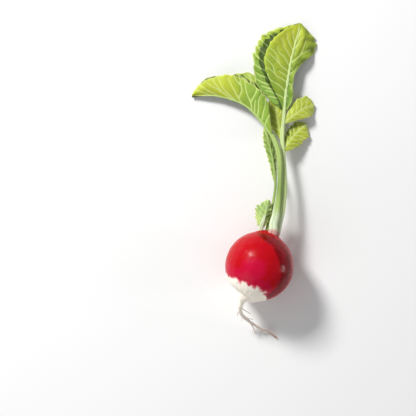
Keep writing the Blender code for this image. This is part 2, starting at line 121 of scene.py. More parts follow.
def eased(value):
    value = np.clip(value, 0, 1)
    return value * value * (3 - 2 * value)


def near(apart, width):
    """1 where apart is zero, fading away over the width."""
    return np.exp(-(apart / width) ** 2)


def ripples(points, size, seed, waves=9):
    """Smooth seeded unevenness between about -1 and 1, with bumps about size across."""
    draw = np.random.default_rng(seed)
    total = 0
    for _ in range(waves):
        direction = draw.normal(size=points.shape[1])
        direction *= draw.uniform(0.7, 1.4) * 2 * math.pi / size / np.linalg.norm(direction)
        total = total + np.sin(points @ direction + draw.uniform(0, 2 * math.pi))
    return total / math.sqrt(waves)


def level_frames(forward):
    """The forward, level right-hand and upward directions for each forward direction."""
    forward = forward / np.linalg.norm(forward, axis=1)[:, None]
    side = np.column_stack([forward[:, 1], -forward[:, 0], np.zeros(len(forward))])
    side /= np.linalg.norm(side, axis=1)[:, None]
    return forward, side, np.cross(side, forward)


def finished_mesh(name, shape):
    mesh = bpy.data.meshes.new(name)
    shape.to_mesh(mesh)
    shape.free()
    return mesh


def grid_mesh(name, columns, rows):
    """A flat grid with a UV map, and each vertex's place across and along it, from 0 to 1."""
    shape = bmesh.new()
    shape.loops.layers.uv.new("UVMap")
    bmesh.ops.create_grid(shape, x_segments=columns, y_segments=rows, size=0.5, calc_uvs=True)
    mesh = finished_mesh(name, shape)
    flat = np.empty(len(mesh.vertices) * 3)
    mesh.vertices.foreach_get("co", flat)
    flat = flat.reshape(-1, 3) + 0.5
    return mesh, flat[:, 0], flat[:, 1]


def shape_grid(mesh, places, marks):
    """Moves a grid's vertices to these places, keeps the named marks on them, and closes its seams."""
    mesh.vertices.foreach_set("co", (places * MM).ravel())
    for name, values in marks.items():
        layer = mesh.attributes.new(name, "FLOAT", "POINT")
        layer.data.foreach_set("value", np.broadcast_to(values, len(places)).astype(np.float32))
    shape = bmesh.new()
    shape.from_mesh(mesh)
    bmesh.ops.remove_doubles(shape, verts=shape.verts, dist=0.002 * MM)
    bmesh.ops.recalc_face_normals(shape, faces=shape.faces)
    shape.to_mesh(mesh)
    shape.free()
    mesh.shade_smooth()


def new_object(name, data):
    """Puts a mesh, a light or a camera into the scene."""
    thing = bpy.data.objects.new(name, data)
    bpy.context.scene.collection.objects.link(thing)
    return thing


def add_piece(name, mesh, node, slot, *looks):
    """Puts a finished mesh into the scene as a piece that stands for a node of the frame."""
    for look in looks:
        mesh.materials.append(look)
    piece = new_object(name, mesh)
    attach(piece, "root")
    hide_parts(node)
    return piece


def new_look(name, roughness, specular=0.5):
    look = bpy.data.materials.new(name)
    look.use_nodes = True
    shader = look.node_tree.nodes["Principled BSDF"]
    shader.inputs["Roughness"].default_value = roughness
    shader.inputs["Specular IOR Level"].default_value = specular
    return look


def add_node(look, kind, inputs, **settings):
    """Adds a node to a material, with its settings, and with each input set or linked."""
    node = look.node_tree.nodes.new("ShaderNode" + kind)
    for key, value in settings.items():
        setattr(node, key, value)
    for key, value in inputs.items():
        if isinstance(value, bpy.types.NodeSocket):
            look.node_tree.links.new(value, node.inputs[key])
        else:
            node.inputs[key].default_value = value
    return node


def feed(look, name, socket):
    """Links a value or a colour to an input of the look's shader."""
    look.node_tree.links.new(socket, look.node_tree.nodes["Principled BSDF"].inputs[name])


def place_on(look):
    return add_node(look, "TexCoord", {}).outputs["Object"]


def mix(look, factor, low, high):
    """Mixes two colours, each given as a socket or as red, green and blue."""
    low = low if isinstance(low, bpy.types.NodeSocket) else (*low, 1)
    high = high if isinstance(high, bpy.types.NodeSocket) else (*high, 1)
    return add_node(look, "Mix", {0: factor, 6: low, 7: high}, data_type="RGBA").outputs[2]


def ramp(look, factor, stops):
    """A colour ramp through (place, colour) stops."""
    node = add_node(look, "ValToRGB", {0: factor})
    node.color_ramp.interpolation = "EASE"
    node.color_ramp.elements[0].position = stops[0][0]
    node.color_ramp.elements[1].position = stops[-1][0]
    for place, _ in stops[1:-1]:
        node.color_ramp.elements.new(place)
    for element, (_, colour) in zip(node.color_ramp.elements, stops):
        element.color = (*colour, 1)
    return node.outputs[0]


def fit(look, value, low, high):
    """Turns the range from low to high of a value into 0 to 1, with soft ends."""
    return add_node(look, "MapRange", {0: value, 1: low, 2: high},
                    interpolation_type="SMOOTHSTEP").outputs[0]


def sums(look, operation, first, second):
    return add_node(look, "Math", {0: first, 1: second}, operation=operation).outputs[0]


def times(look, value, amount):
    return sums(look, "MULTIPLY", value, amount)


def noise(look, vector, scale, detail=2.0):
    """Soft noise from 0 to 1. scale is about how many of its waves go to a metre."""
    return add_node(look, "TexNoise",
                    {"Vector": vector, "Scale": scale, "Detail": detail}).outputs[0]


def roughness_between(look, value, low, high):
    """Lets a value between 0 and 1 vary the roughness from low to high."""
    rough = add_node(look, "MapRange", {0: value, 3: low, 4: high})
    feed(look, "Roughness", rough.outputs[0])


def away_from(look, place, centre):
    """How far a place is from a centre, which is given in millimetres."""
    return add_node(look, "VectorMath", {0: place, 1: (centre[0] * MM, centre[1] * MM, 0)},
                    operation="DISTANCE").outputs[1]


def mark(look, name):
    return add_node(look, "Attribute", {}, attribute_name=name).outputs[2]


def bump(look, height, distance, strength=1.0):
    node = add_node(look, "Bump",
                    {"Height": height, "Distance": distance, "Strength": strength})
    feed(look, "Normal", node.outputs[0])


def on_axis(along, shift=0.0):
    return GLOBE_CENTRE + GLOBE_AXIS * along - ACROSS_AXIS * shift


def crown_foot(across, up):
    """The outward direction and the point of the skin where a stalk stands on the crown."""
    outward = (GLOBE_AXIS * math.sqrt(GLOBE_RADIUS ** 2 - across ** 2 - up ** 2)
               + ACROSS_AXIS * across + np.array((0, 0, up))) / GLOBE_RADIUS
    return outward, GLOBE_CENTRE + outward * GLOBE_RADIUS


bend = np.linspace(0, math.acos(-NECK_BEGINS / GLOBE_RADIUS), GLOBE_ROWS)
globe_line = on_axis(0) + GLOBE_AXIS * (GLOBE_RADIUS * np.cos(bend))[:, None]
neck_line = [on_axis(-NECK_BEGINS), on_axis(-NECK_MIDDLE, 0.5 * NECK_SHIFT),
             on_axis(-NECK_ENDS, NECK_SHIFT)]
tail_line = smooth_path(neck_line + TAIL_ROUTE, TAIL_ROWS)
tail_reach = path_lengths(tail_line)
tail_radii = profile(TAIL_RADII, tail_reach)
turning = eased(tail_reach / NECK_TURN)[:, None]
tail_forward = np.gradient(tail_line, axis=0)
tail_forward /= np.linalg.norm(tail_forward, axis=1)[:, None]
root_forward = np.vstack([np.tile(-GLOBE_AXIS, (GLOBE_ROWS - 1, 1)),
                          -GLOBE_AXIS * (1 - turning) + tail_forward * turning])
root_line = np.vstack([globe_line[:-1], tail_line])
root_radii = np.append(GLOBE_RADIUS * np.sin(bend[:-1]), tail_radii)
root_radii[-1] = 0
root_along = np.append(GLOBE_RADIUS * (1 - np.cos(bend[:-1])),
                       GLOBE_RADIUS + NECK_BEGINS + tail_reach)
root_forward, root_side, root_up = level_frames(root_forward)

mesh, around, along = grid_mesh("root_body", ROOT_AROUND, len(root_line) - 1)
row = np.rint(along * (len(root_line) - 1)).astype(int)
turn = 2 * math.pi * around
radial = root_side[row] * np.cos(turn)[:, None] + root_up[row] * np.sin(turn)[:, None]
places = root_line[row] + radial * root_radii[row][:, None]
widening = np.gradient(root_radii)
advance = np.gradient(root_along)
slope = np.hypot(widening, advance) + 1e-9
outward = (radial * (advance / slope)[row][:, None]
           - root_forward[row] * (widening / slope)[row][:, None])
thickness = np.clip(root_radii[row] / GLOBE_RADIUS, 0.02, 1)
swell = (LUMP * ripples(places, LUMP_SIZE, seed=3) * thickness
         + FINE_LUMP * ripples(places, FINE_LUMP_SIZE, seed=4) * thickness ** 0.5)
for foot in STALK_FEET.values():
    apart = np.linalg.norm(places - crown_foot(*foot)[1], axis=1)
    swell += CROWN_SWELL * near(apart, CROWN_SWELL_WIDTH)
reach = root_along[row]
creases = (near(reach - NECK_CREASE, NECK_CREASE_WIDTH)
           + 0.6 * near(reach, CROWN_CREASE_WIDTH))
swell += CREASE_DEPTH * creases * np.cos(CREASES * turn + 2.5 * np.sin(3 * turn))
places += outward * swell[:, None]
places[:, 2] = np.maximum(places[:, 2], 0)
shape_grid(mesh, places, {"tail": np.clip((reach - TAIL_COLOUR_BEGINS) / TAIL_COLOUR_LENGTH, 0, 1)})

SKIN_RED = (0.43, 0.002, 0.004)
SKIN_CRIMSON = (0.49, 0.003, 0.032)
SKIN_MAROON_SHADE = (0.16, 0.0005, 0.001)
SKIN_PINK = (0.80, 0.30, 0.32)
SKIN_WHITE = (0.95, 0.88, 0.76)
TAIL_CREAM = (0.77, 0.65, 0.57)
TAIL_TIP = (0.36, 0.16, 0.11)
LENTICEL_GREY = (0.60, 0.50, 0.40)
# Places along the axis, from the globe's centre, where the white and the crimson beside it end.
WHITE_ENDS = -6.9
RED_BEGINS = -2.5
CRIMSON_FULL = -1.7
CRIMSON_ENDS = 1.8
# On the right the red reaches further down: from and to these places across, by this much.
RED_SIDE = (8.0, 15.0)
RED_SIDE_LIFT = 4.8
# How far fine streaks, broader waves and slow drifts shift the borders between the colours.
STREAK_SHIFT = 5.6
WAVE_SHIFT = 4.4
DRIFT_SHIFT = 4
# The dark maroon is partly a deeper red and partly painted shade: it lies outside a ring round this centre,
# which sits towards the light, and above these heights from the middle, leaving the red below as a painted
# bright rim.
MAROON_SHADE_CENTRE = (-7, -4)
MAROON_SHADE_RING = (18.7, 20.3)
MAROON_SHADE_HEIGHTS = (3.6, 6.4)
CRIMSON_CENTRE = (-2.5, -2.5)
CRIMSON_RING = (9.5, 6.0)

skin = new_look("radish_skin", roughness=0.3, specular=0.12)
place = add_node(skin, "Mapping", {"Vector": place_on(skin), "Rotation": (0, 0, AXIS_LEAN),
                                             "Location": (0, 0, -GLOBE_CENTRE[2] * MM)}).outputs[0]
across, along, height = add_node(skin, "SeparateXYZ", {0: place}).outputs
lengthwise = add_node(skin, "Mapping", {"Vector": place, "Scale": (1, 0.1, 1)}).outputs[0]
streak = times(skin, noise(skin, lengthwise, 620, 4), STREAK_SHIFT * MM)
wave = times(skin, noise(skin, place, 240, 3), WAVE_SHIFT * MM)
drift = times(skin, noise(skin, place, 130, 3), DRIFT_SHIFT * MM)
level = sums(skin, "ADD", sums(skin, "ADD", along, streak), wave)
side = fit(skin, sums(skin, "ADD", across, drift), RED_SIDE[0] * MM, RED_SIDE[1] * MM)
level = sums(skin, "ADD", level, times(skin, side, RED_SIDE_LIFT * MM))
redness = fit(skin, level, WHITE_ENDS * MM, RED_BEGINS * MM)
flat_place = add_node(skin, "CombineXYZ", {0: across, 1: along}).outputs[0]
# Painted shade: the maroon darkens the red away from the light, above a painted bright red rim.
outside = sums(skin, "ADD", away_from(skin, flat_place, MAROON_SHADE_CENTRE), drift)
maroon_shade = times(skin, fit(skin, outside, MAROON_SHADE_RING[0] * MM, MAROON_SHADE_RING[1] * MM),
               fit(skin, height, MAROON_SHADE_HEIGHTS[0] * MM, MAROON_SHADE_HEIGHTS[1] * MM))
outside = sums(skin, "ADD", away_from(skin, flat_place, CRIMSON_CENTRE), drift)
crimson = sums(skin, "MAXIMUM", fit(skin, outside, CRIMSON_RING[0] * MM, CRIMSON_RING[1] * MM),
               fit(skin, level, CRIMSON_ENDS * MM, CRIMSON_FULL * MM))
red = mix(skin, crimson, SKIN_RED, SKIN_CRIMSON)
red = mix(skin, maroon_shade, red, SKIN_MAROON_SHADE)
mottle = fit(skin, noise(skin, lengthwise, 500, 4), 0.25, 0.8)
red = mix(skin, times(skin, mottle, 0.35), red, SKIN_CRIMSON)
pale = mix(skin, fit(skin, mark(skin, "tail"), 0.0, 0.5), SKIN_WHITE, TAIL_CREAM)
pale = mix(skin, fit(skin, mark(skin, "tail"), 0.55, 1.0), pale, TAIL_TIP)
squat = add_node(skin, "Mapping", {"Vector": place, "Scale": (1, 3.2, 1)}).outputs[0]
pores = add_node(skin, "TexVoronoi", {"Vector": squat, "Scale": 210}).outputs[0]
pale = mix(skin, fit(skin, pores, 0.18, 0.05), pale, LENTICEL_GREY)
colour = mix(skin, fit(skin, redness, 0.1, 0.5), pale, SKIN_PINK)
colour = mix(skin, fit(skin, redness, 0.3, 0.75), colour, red)
feed(skin, "Base Color", colour)
roughness_between(skin, noise(skin, place, 700, 3), 0.16, 0.34)
bump(skin, noise(skin, lengthwise, 1000, 1), 0.06 * MM)
add_piece("root_body", mesh, "root", "root_skin", skin)

# Rootlets branch off the tail, thin as thread, and finer root hairs stand between them.
# They are the same pale fibre as the tail and darken as they dry.
ROOTLET_RADIUS = 0.27
ROOTLET_TIP = 0.09
ROOTLET_LOWEST = 0.5
# Each rootlet: its place along the whole tail, and how far its end lies from its foot.
ROOTLETS = [(0.24, (-1.3, -4.8, -3.4)), (0.26, (5.4, -3.6, -4.6)), (0.46, (4.4, -1.4, -3.0)),
            (0.58, (3.2, -6.2, -2.6))]
ROOT_HAIRS = 34
ROOT_HAIR_RADIUS = 0.07
ROOT_HAIR_TIP = 0.03
ROOT_HAIR_LOWEST = 0.12
FIBRE_PALE = (0.72, 0.58, 0.46)
FIBRE_TIP = (0.32, 0.17, 0.09)
FIBRE_BROWN = (0.40, 0.24, 0.14)


def thread_mesh(name, path, start_radius, end_radius, around):
    """A closed thin tube along the path that tapers to its end."""
    mesh, turns, places = grid_mesh(name, around, len(path) - 1)
    line = np.rint(places * (len(path) - 1)).astype(int)
    forward, side, up = level_frames(np.gradient(path, axis=0) + np.array((1e-6, 0, 0)))
    radii = np.linspace(start_radius, end_radius, len(path))
    radii[[0, -1]] = 0
    angle = 2 * math.pi * turns
    ring = side[line] * np.cos(angle)[:, None] + up[line] * np.sin(angle)[:, None]
    shape_grid(mesh, path[line] + ring * radii[line][:, None], {"reach": places})
    return mesh


def joined_mesh(name, meshes):
    """One mesh that holds all the given ones, which are then removed."""
    shape = bmesh.new()
    for mesh in meshes:
        shape.from_mesh(mesh)
        bpy.data.meshes.remove(mesh)
    whole = finished_mesh(name, shape)
    whole.shade_smooth()
    return whole


threads = []
draw = np.random.default_rng(11)
for place_on_tail, reach in ROOTLETS:
    foot = tail_line[round(place_on_tail * (TAIL_ROWS - 1))]
    end = foot + np.array(reach)
    end[2] = max(end[2], ROOTLET_LOWEST)
    middle = 0.5 * (foot + end) + np.array((0.25, -0.2, -0.4))
    far = foot + 0.8 * (end - foot) + np.array((-0.2, 0.15, 0.1))
    rootlet = smooth_path([foot, middle, far, end], count=40)
    threads.append(thread_mesh("rootlet", rootlet, ROOTLET_RADIUS, ROOTLET_TIP, around=8))
for _ in range(ROOT_HAIRS):
    place_on_tail = draw.uniform(0.2, 0.92)
    foot = tail_line[round(place_on_tail * (TAIL_ROWS - 1))]
    heading = draw.normal(size=3) * np.array((1, 1, 0.5)) + np.array((0.3, -0.7, -0.3))
    heading *= draw.uniform(1.2, 3.4) / np.linalg.norm(heading)
    knee = foot + 0.5 * heading + draw.normal(size=3) * 0.25
    end = foot + heading + np.array((0, 0, -0.5))
    hair = smooth_path([foot, knee, end], count=8)
    hair[:, 2] = np.maximum(hair[:, 2], ROOT_HAIR_LOWEST)
    threads.append(thread_mesh("root_hair", hair, ROOT_HAIR_RADIUS, ROOT_HAIR_TIP, around=4))

fibre = new_look("rootlet_fibre", roughness=0.6)
place = place_on(fibre)
colour = mix(fibre, mark(fibre, "reach"), FIBRE_PALE, FIBRE_TIP)
colour = mix(fibre, fit(fibre, noise(fibre, place, 900), 0.3, 0.8), colour, FIBRE_BROWN)
feed(fibre, "Base Color", colour)
bump(fibre, noise(fibre, place, 3000), 0.05 * MM)
add_piece("rootlets", joined_mesh("rootlets", threads), "root", "root_skin", fibre)

# The upright leaf: a ribbed stalk with a shallow channel above, which stands on the crown and runs on as
# the midrib. It carries a large end lobe, whose left half folds under itself in a pleat, and three side
# leaflets. Fine bristles stand along it.
UPRIGHT_ROUTE = [(9.3, 20.4, 14.0), (10.7, 25.6, 13.1), (11.6, 31.7, 11.9), (12.1, 38.4, 10.8),
                 (12.2, 45.1, 9.8), (11.8, 51.8, 8.8), (11.2, 62.2, 7.6), (12.0, 72.1, 6.9),
                 (12.9, 82.1, 6.5), (15.1, 96.5, 6.2), (17.3, 106.1, 5.2), (20.2, 117.1, 2.4)]
UPRIGHT_RADII = [1.9, 1.75, 1.5, 1.4, 1.35, 1.05, 1.0, 1.05, 1.0, 0.9, 0.8, 0.7, 0.62, 0.55, 0.5, 0.45,
                 0.42, 0.3]
# How many points a large leaf's middle line has, and the point at which the lobe begins.
LEAF_POINTS = 320
UPRIGHT_LOBE_START = 187
UPRIGHT_LEAN = 0.66
UPRIGHT_BOW = 1.0
# Half widths, and heights of margins, at places from 0 to 1 along the end lobe.
UPRIGHT_OUTER = {0: 7.0, 0.05: 12.6, 0.19: 16.8, 0.41: 17.8, 0.6: 16.3, 0.8: 11.4, 0.93: 5.2, 1: 0.5}
UPRIGHT_CREST = {0: 1.0, 0.06: 1.6, 0.1: 3.6, 0.17: 7.4, 0.26: 11.0, 0.42: 12.6, 0.55: 11.8, 0.8: 7.8,
                 0.93: 3.6, 1: 0.3}
UPRIGHT_RIGHT = {0: 1.2, 0.05: 2.9, 0.26: 2.8, 0.4: 3.2, 0.49: 5.4, 0.56: 8.8, 0.66: 10.2, 0.8: 9.2,
                 0.92: 5.2, 1: 0.5}
UPRIGHT_RIGHT_EDGE = {0: 6.4, 0.35: 6.0, 0.5: 4.2, 0.62: 0.9, 0.8: 0.6, 1: 1.8}
UPRIGHT_OUTER_EDGE = {0: 5.6, 0.08: 2.6, 0.3: 1.2, 0.5: 0.5, 0.7: 0.6, 1: 1.8}
# The side veins of its middle, as lines seen from above.
UPRIGHT_VEINS = [
    [(12.2, 80.6), (9.9, 82.0), (8.0, 83.1)],
    [(13.1, 82.8), (11.8, 84.9), (9.6, 87.1), (7.2, 88.4), (5.1, 90.0), (4.2, 92.4)],
    [(13.9, 88.1), (11.2, 89.9), (8.6, 91.3), (6.7, 93.2), (3.9, 95.3)],
    [(7.5, 92.7), (6.7, 96.1), (4.8, 98.3), (3.2, 100.1)],
    [(13.7, 90.7), (11.8, 92.4), (9.6, 93.7)],
    [(14.5, 93.5), (11.8, 95.3), (9.6, 97.5), (7.2, 100.1), (4.6, 102.3)],
    [(10.0, 97.1), (8.6, 100.4), (7.8, 102.5), (5.4, 104.7)],
    [(14.8, 96.1), (13.4, 98.3), (11.8, 100.9), (9.6, 102.8), (8.7, 105.5)],
    [(15.5, 99.7), (13.9, 102.8), (12.3, 105.2), (11.5, 107.8), (10.9, 109.6)],
    [(16.4, 103.5), (14.9, 106.6), (13.8, 109.4), (13.3, 112.0)],
    [(17.4, 107.0), (16.6, 110.0), (16.2, 113.4)],
    [(15.8, 92.9), (17.4, 94.5), (18.7, 96.1)],
    [(15.9, 98.0), (18.2, 99.9), (20.0, 101.7), (21.9, 106.0), (22.8, 108.6)],
    [(20.0, 101.7), (22.4, 103.1), (24.8, 104.4)],
    [(16.9, 104.2), (19.0, 107.0), (20.6, 110.3)],
    [(18.3, 108.8), (19.6, 111.6), (20.2, 113.6)]]
FLAP_VEINS = [
    [(4.3, 106.1), (1.9, 108.5), (1.0, 110.9)],
    [(2.9, 102.2), (0.5, 104.6), (-1.0, 107.0)],
    [(2.4, 98.4), (0.0, 100.3), (-1.9, 102.7)],
    [(2.4, 94.6), (0.0, 96.0), (-2.4, 97.9)],
    [(2.9, 91.2), (0.5, 92.2), (-1.9, 94.1)],
    [(4.3, 87.8), (1.4, 88.8), (-1.0, 90.2)],
    [(6.2, 85.4), (3.8, 85.9), (1.0, 86.9)],
    [(8.6, 82.6), (6.2, 84.0), (3.4, 84.5)],
    [(10.6, 80.2), (8.2, 81.0), (4.8, 81.8)],
    [(7.5, 110.5), (5.3, 112.2), (4.6, 114.0)]]
# Widths of the painted shadow along the bottom of the pleat, past its crest, at places along the end lobe.
PLEAT_SHADOW_WIDTHS = {0: 1.2, 0.1: 2.4, 0.3: 3.0, 0.5: 3.2, 0.65: 2.6, 0.8: 1.4, 1: 0.2}
# How high the blade's margins wave, and how many turns of a wave go along it.
MARGIN_WAVE = 0.5
MARGIN_TURNS = 38
CREST_WAVE = 0.3
CREST_TURNS = 31
FLAP_WAVE = 0.7
FLAP_TURNS = 29
RIB_SINK = 0.1
RIB_CHANNEL = 0.25
RIB_WIDTH = 0.8
# How high the blade puckers between its veins, and how far a vein's valley and its colour reach.
PUCKER = 0.34
PUCKER_WIDTH = 1.2
VEIN_WIDTH = 0.36
VEIN_TAPER = 0.18
# How far the border of a painted shade wavers, how far its finer wave does, and their turns.
SHADE_WAVE = 0.35
SHADE_FINE_WAVE = 0.25
PLEAT_SHADOW_TURNS = (47, 85)
PLEAT_RISE = 2.4
PLEAT_DROP = 4.4
PLEAT_UNDERCUT = 0.7
PLEAT_PLACES = [0, 0.28, 0.52, 0.62, 0.72, 1]
STALK_FLATNESS = 0.72
STALK_AROUND = 40
STALK_SINK = 1.4
STALK_RISE = 1.8
# The stalk's ribs and the channel above, as parts of its radius, and the channel's width in radians.
RIBS = 9
RIB_HEIGHT = 0.035
FINE_RIBS = 14
FINE_RIB_HEIGHT = 0.02
CHANNEL_DEPTH = 0.22
CHANNEL_WIDTH = 0.42
VEIN_POINTS = 20
VEIN_LEAD = 1.2
BRANCH_REACH = 0.7
VEIN_FORK = 0.45
LEAFLET_LENGTH = 20.0
LEAFLET_LEAN = 0.35
LEAFLET_TURNS = 9
LEAFLET_PUCKER = 0.25
LEAFLET_VEINS = np.arange(-0.1, 0.9, 0.16)
NO_VEIN = 9.0
BLADE_THICKNESS = 0.36
BLADE_FLOOR = 0.2


def stalk_path(foot, route, count):
    """A stalk's middle line, from inside the crown, squarely out of it and along its route."""
    outward, skin_point = crown_foot(*foot)
    start = [skin_point - outward * STALK_SINK, skin_point + outward * STALK_RISE]
    return smooth_path(start + route, count)


def spread_radii(path, radii):
    """A stalk's radius at each point of its path, from radii at even steps."""
    return curve_through(np.linspace(0, 1, len(radii)), radii, np.linspace(0, 1, len(path)))


def add_stalk(name, node, slot, look, path, radii, flatness, seed):
    """A stalk and its midrib: flattened, with fine ribs lengthwise and a shallow channel above."""
    mesh, around, along = grid_mesh(name, STALK_AROUND, len(path) - 1)
    row = np.rint(along * (len(path) - 1)).astype(int)
    forward, side, up = level_frames(np.gradient(path, axis=0))
    steps = np.linspace(0, 1, len(path))
    thick = spread_radii(path, radii)
    thick[[0, -1]] = 0
    turn = 2 * math.pi * around
    wander = 0.5 * np.sin(7 * steps + seed)[row]
    ribs = (1 + RIB_HEIGHT * np.cos(RIBS * turn + wander)
            + FINE_RIB_HEIGHT * np.cos(FINE_RIBS * turn - wander))
    channel = CHANNEL_DEPTH * near(turn - math.pi / 2, CHANNEL_WIDTH)
    reach = path_lengths(path)[row]
    uneven = 1 + 0.03 * ripples(np.column_stack([reach, 3 * np.sin(turn)]), 9, seed)
    wide = thick[row] * ribs * uneven
    places = (path[row] + side[row] * (wide * np.cos(turn))[:, None]
              + up[row] * (wide * flatness * (np.sin(turn) - channel))[:, None])
    places[:, 2] = np.maximum(places[:, 2], BLADE_FLOOR)
    shape_grid(mesh, places, {"reach": reach / 100})
    add_piece(name, mesh, node, slot, look)


def frames_at(path, along):
    """The point, forward and level right-hand directions at these places, 0 to 1, along a path."""
    forward, side, _ = level_frames(np.gradient(path, axis=0))
    steps = np.linspace(0, 1, len(path))
    return [np.column_stack([np.interp(along, steps, part[:, k]) for k in range(3)])
            for part in (path, forward, side)]


def vein_gap(along, out, length, starts, rise, seed, spread=0.05):
    """How far each point of a half blade is from its nearest side vein. Every vein forks once."""
    draw = np.random.default_rng(seed)
    gap = np.full(len(along), NO_VEIN)
    for start in starts:
        begin = start + draw.uniform(-0.012, 0.012)
        split = np.maximum(out - VEIN_FORK - draw.uniform(-0.15, 0.15), 0)
        split = split * (spread + draw.uniform(-0.02, 0.02)) / (1 - VEIN_FORK)
        bowed = begin + rise * (0.55 * out + 0.45 * out ** 2)
        for branch in (bowed + split * 1.6, bowed - split):
            gap = np.minimum(gap, np.abs(along - branch) * length * 0.8)
    return gap


def drawn_vein_gap(places, veins):
    """How far each point is, seen from above, from its nearest vein, and how far along that vein it is.
    A vein that doesn't branch off another one is led on to the rib."""
    lines = [smooth_path([(*point, 0) for point in vein], VEIN_POINTS)[:, :2] for vein in veins]
    gap = np.full(len(places), NO_VEIN)
    reach = np.zeros(len(places))
    for vein_number, line in enumerate(lines):
        others = np.vstack(lines[:vein_number] + lines[vein_number + 1:])
        if np.linalg.norm(others - line[0], axis=1).min() > BRANCH_REACH:
            first_step = line[0] - line[1]
            line = np.vstack([line[0] + VEIN_LEAD * first_step / np.linalg.norm(first_step), line])
        for number, (start, end) in enumerate(zip(line, line[1:])):
            run = end - start
            t = np.clip((places[:, :2] - start) @ run / (run @ run), 0, 1)
            apart = np.linalg.norm(places[:, :2] - start - t[:, None] * run, axis=1)
            nearer = apart < gap
            gap = np.where(nearer, apart, gap)
            reach = np.where(nearer, (number + t) / (len(line) - 1), reach)
    return gap, reach


def add_blade(name, node, slot, looks, path, section, dress, lean, columns, rows):
    """A thin sheet along the path, with a paler underside. section gives how far across and how high
    each point is, and dress gives its fine relief and its marks for the material."""
    mesh, around, along = grid_mesh(name, columns, rows)
    side = 2 * around - 1
    point, forward, right = frames_at(path, along)
    across, height = section(along, side, point[:, 2])
    sweep = np.abs(across) * lean * (1 - along ** 2)
    places = point + right * across[:, None] + forward * np.array((1, 1, 0)) * sweep[:, None]
    relief, marks = dress(places, along, side)
    places[:, 2] = np.maximum(height + relief, BLADE_FLOOR)
    shape_grid(mesh, places, marks)
    piece = add_piece(name, mesh, node, slot, *looks)
    thicken = piece.modifiers.new("thickness", "SOLIDIFY")
    thicken.thickness = BLADE_THICKNESS * MM
    thicken.offset = 0
    thicken.material_offset = 1


def ragged(along, count, depth, seed):
    """A margin's outline factor near 1: uneven blunt teeth, each leaning towards the tip."""
    phase = count * along + 0.25 * np.sin(5 * along + seed) + 0.12 * np.sin(13 * along + 2 * seed)
    tooth = phase - np.floor(phase)
    shape = np.minimum(tooth / 0.72, (1 - tooth) / 0.28)
    uneven = 1 + 0.45 * np.sin(2.3 * np.floor(phase) + seed)
    fading = eased(along / 0.06) * eased((1 - along) / 0.08)
    return 1 + depth * fading * (1.6 * eased(shape) * uneven - 0.9)


NET_WARP = 1.2
LEAF_GREEN = (0.18, 0.32, 0.034)
LEAF_LIME = (0.45, 0.50, 0.032)
# The deepest green is painted shade, put on the blades by their shade mark.
LEAF_PAINTED_SHADE = (0.034, 0.062, 0.008)
VEIN_PALE = (0.60, 0.70, 0.24)
MARGIN_PALE = (0.66, 0.70, 0.22)
UNDER_GREEN = (0.27, 0.41, 0.075)
UNDER_LIME = (0.44, 0.54, 0.09)
STALK_WHITE = (0.60, 0.69, 0.45)
STALK_LINE = (0.52, 0.64, 0.24)
STALK_PINK = (0.60, 0.33, 0.30)
STALK_PALE = (0.33, 0.46, 0.12)
STALK_GREEN = (0.18, 0.29, 0.048)
# The upright stalk's paler body colours: painted light.
STALK_PAINTED_LIGHT = (0.58, 0.70, 0.32)
STALK_PAINTED_LIGHT_GREEN = (0.50, 0.64, 0.26)
STALK_SHADE = (0.045, 0.090, 0.012)
# Places round a stalk, from its right side at 0 over its top at 0.25, and how deep its painted shade is
# there.
STALK_SHADE_BANDS = [(0.0, 0.15), (0.095, 0.0), (0.125, 1.0), (0.155, 0.0), (0.27, 0.0), (0.37, 0.05),
               (0.46, 1.0), (0.75, 0.5)]


def leaf_look(name, green, lime, vein_strength):
    """Leaf blade: green to lime by the tone mark, pale veins and margin, a fine net, and painted shade."""
    look = new_look(name, roughness=0.5, specular=0.2)
    place = place_on(look)
    patch = fit(look, noise(look, place, 260, 3), 0.3, 0.75)
    tone = sums(look, "ADD", mark(look, "tone"), times(look, patch, 0.25))
    colour = mix(look, fit(look, tone, 0.05, 1.15), green, lime)
    bent = add_node(look, "TexNoise", {"Vector": place, "Scale": 500.0}).outputs[1]
    warped = add_node(look, "VectorMath", {0: bent, 1: (NET_WARP * MM,) * 3, 2: place},
                      operation="MULTIPLY_ADD").outputs[0]
    net = add_node(look, "TexVoronoi", {"Vector": warped, "Scale": 1150.0},
                   feature="DISTANCE_TO_EDGE").outputs[0]
    net_line = fit(look, net, 0.12, 0.02)
    colour = mix(look, times(look, net_line, 0.13), colour, VEIN_PALE)
    grain = fit(look, noise(look, place, 1500, 3), 0.35, 0.7)
    colour = mix(look, times(look, grain, 0.12), colour, green)
    # Painted shade: folds, overlaps and shadowed sides darkened by the shade mark.
    colour = mix(look, mark(look, "shade"), colour, LEAF_PAINTED_SHADE)
    colour = mix(look, times(look, mark(look, "vein"), vein_strength), colour, VEIN_PALE)
    colour = mix(look, times(look, mark(look, "edge"), 0.75), colour, MARGIN_PALE)
    feed(look, "Base Color", colour)
    roughness_between(look, noise(look, place, 900, 3), 0.44, 0.62)
    relief = sums(look, "SUBTRACT", noise(look, place, 1800, 3), net_line)
    bump(look, relief, 0.04 * MM, 0.6)
    return look


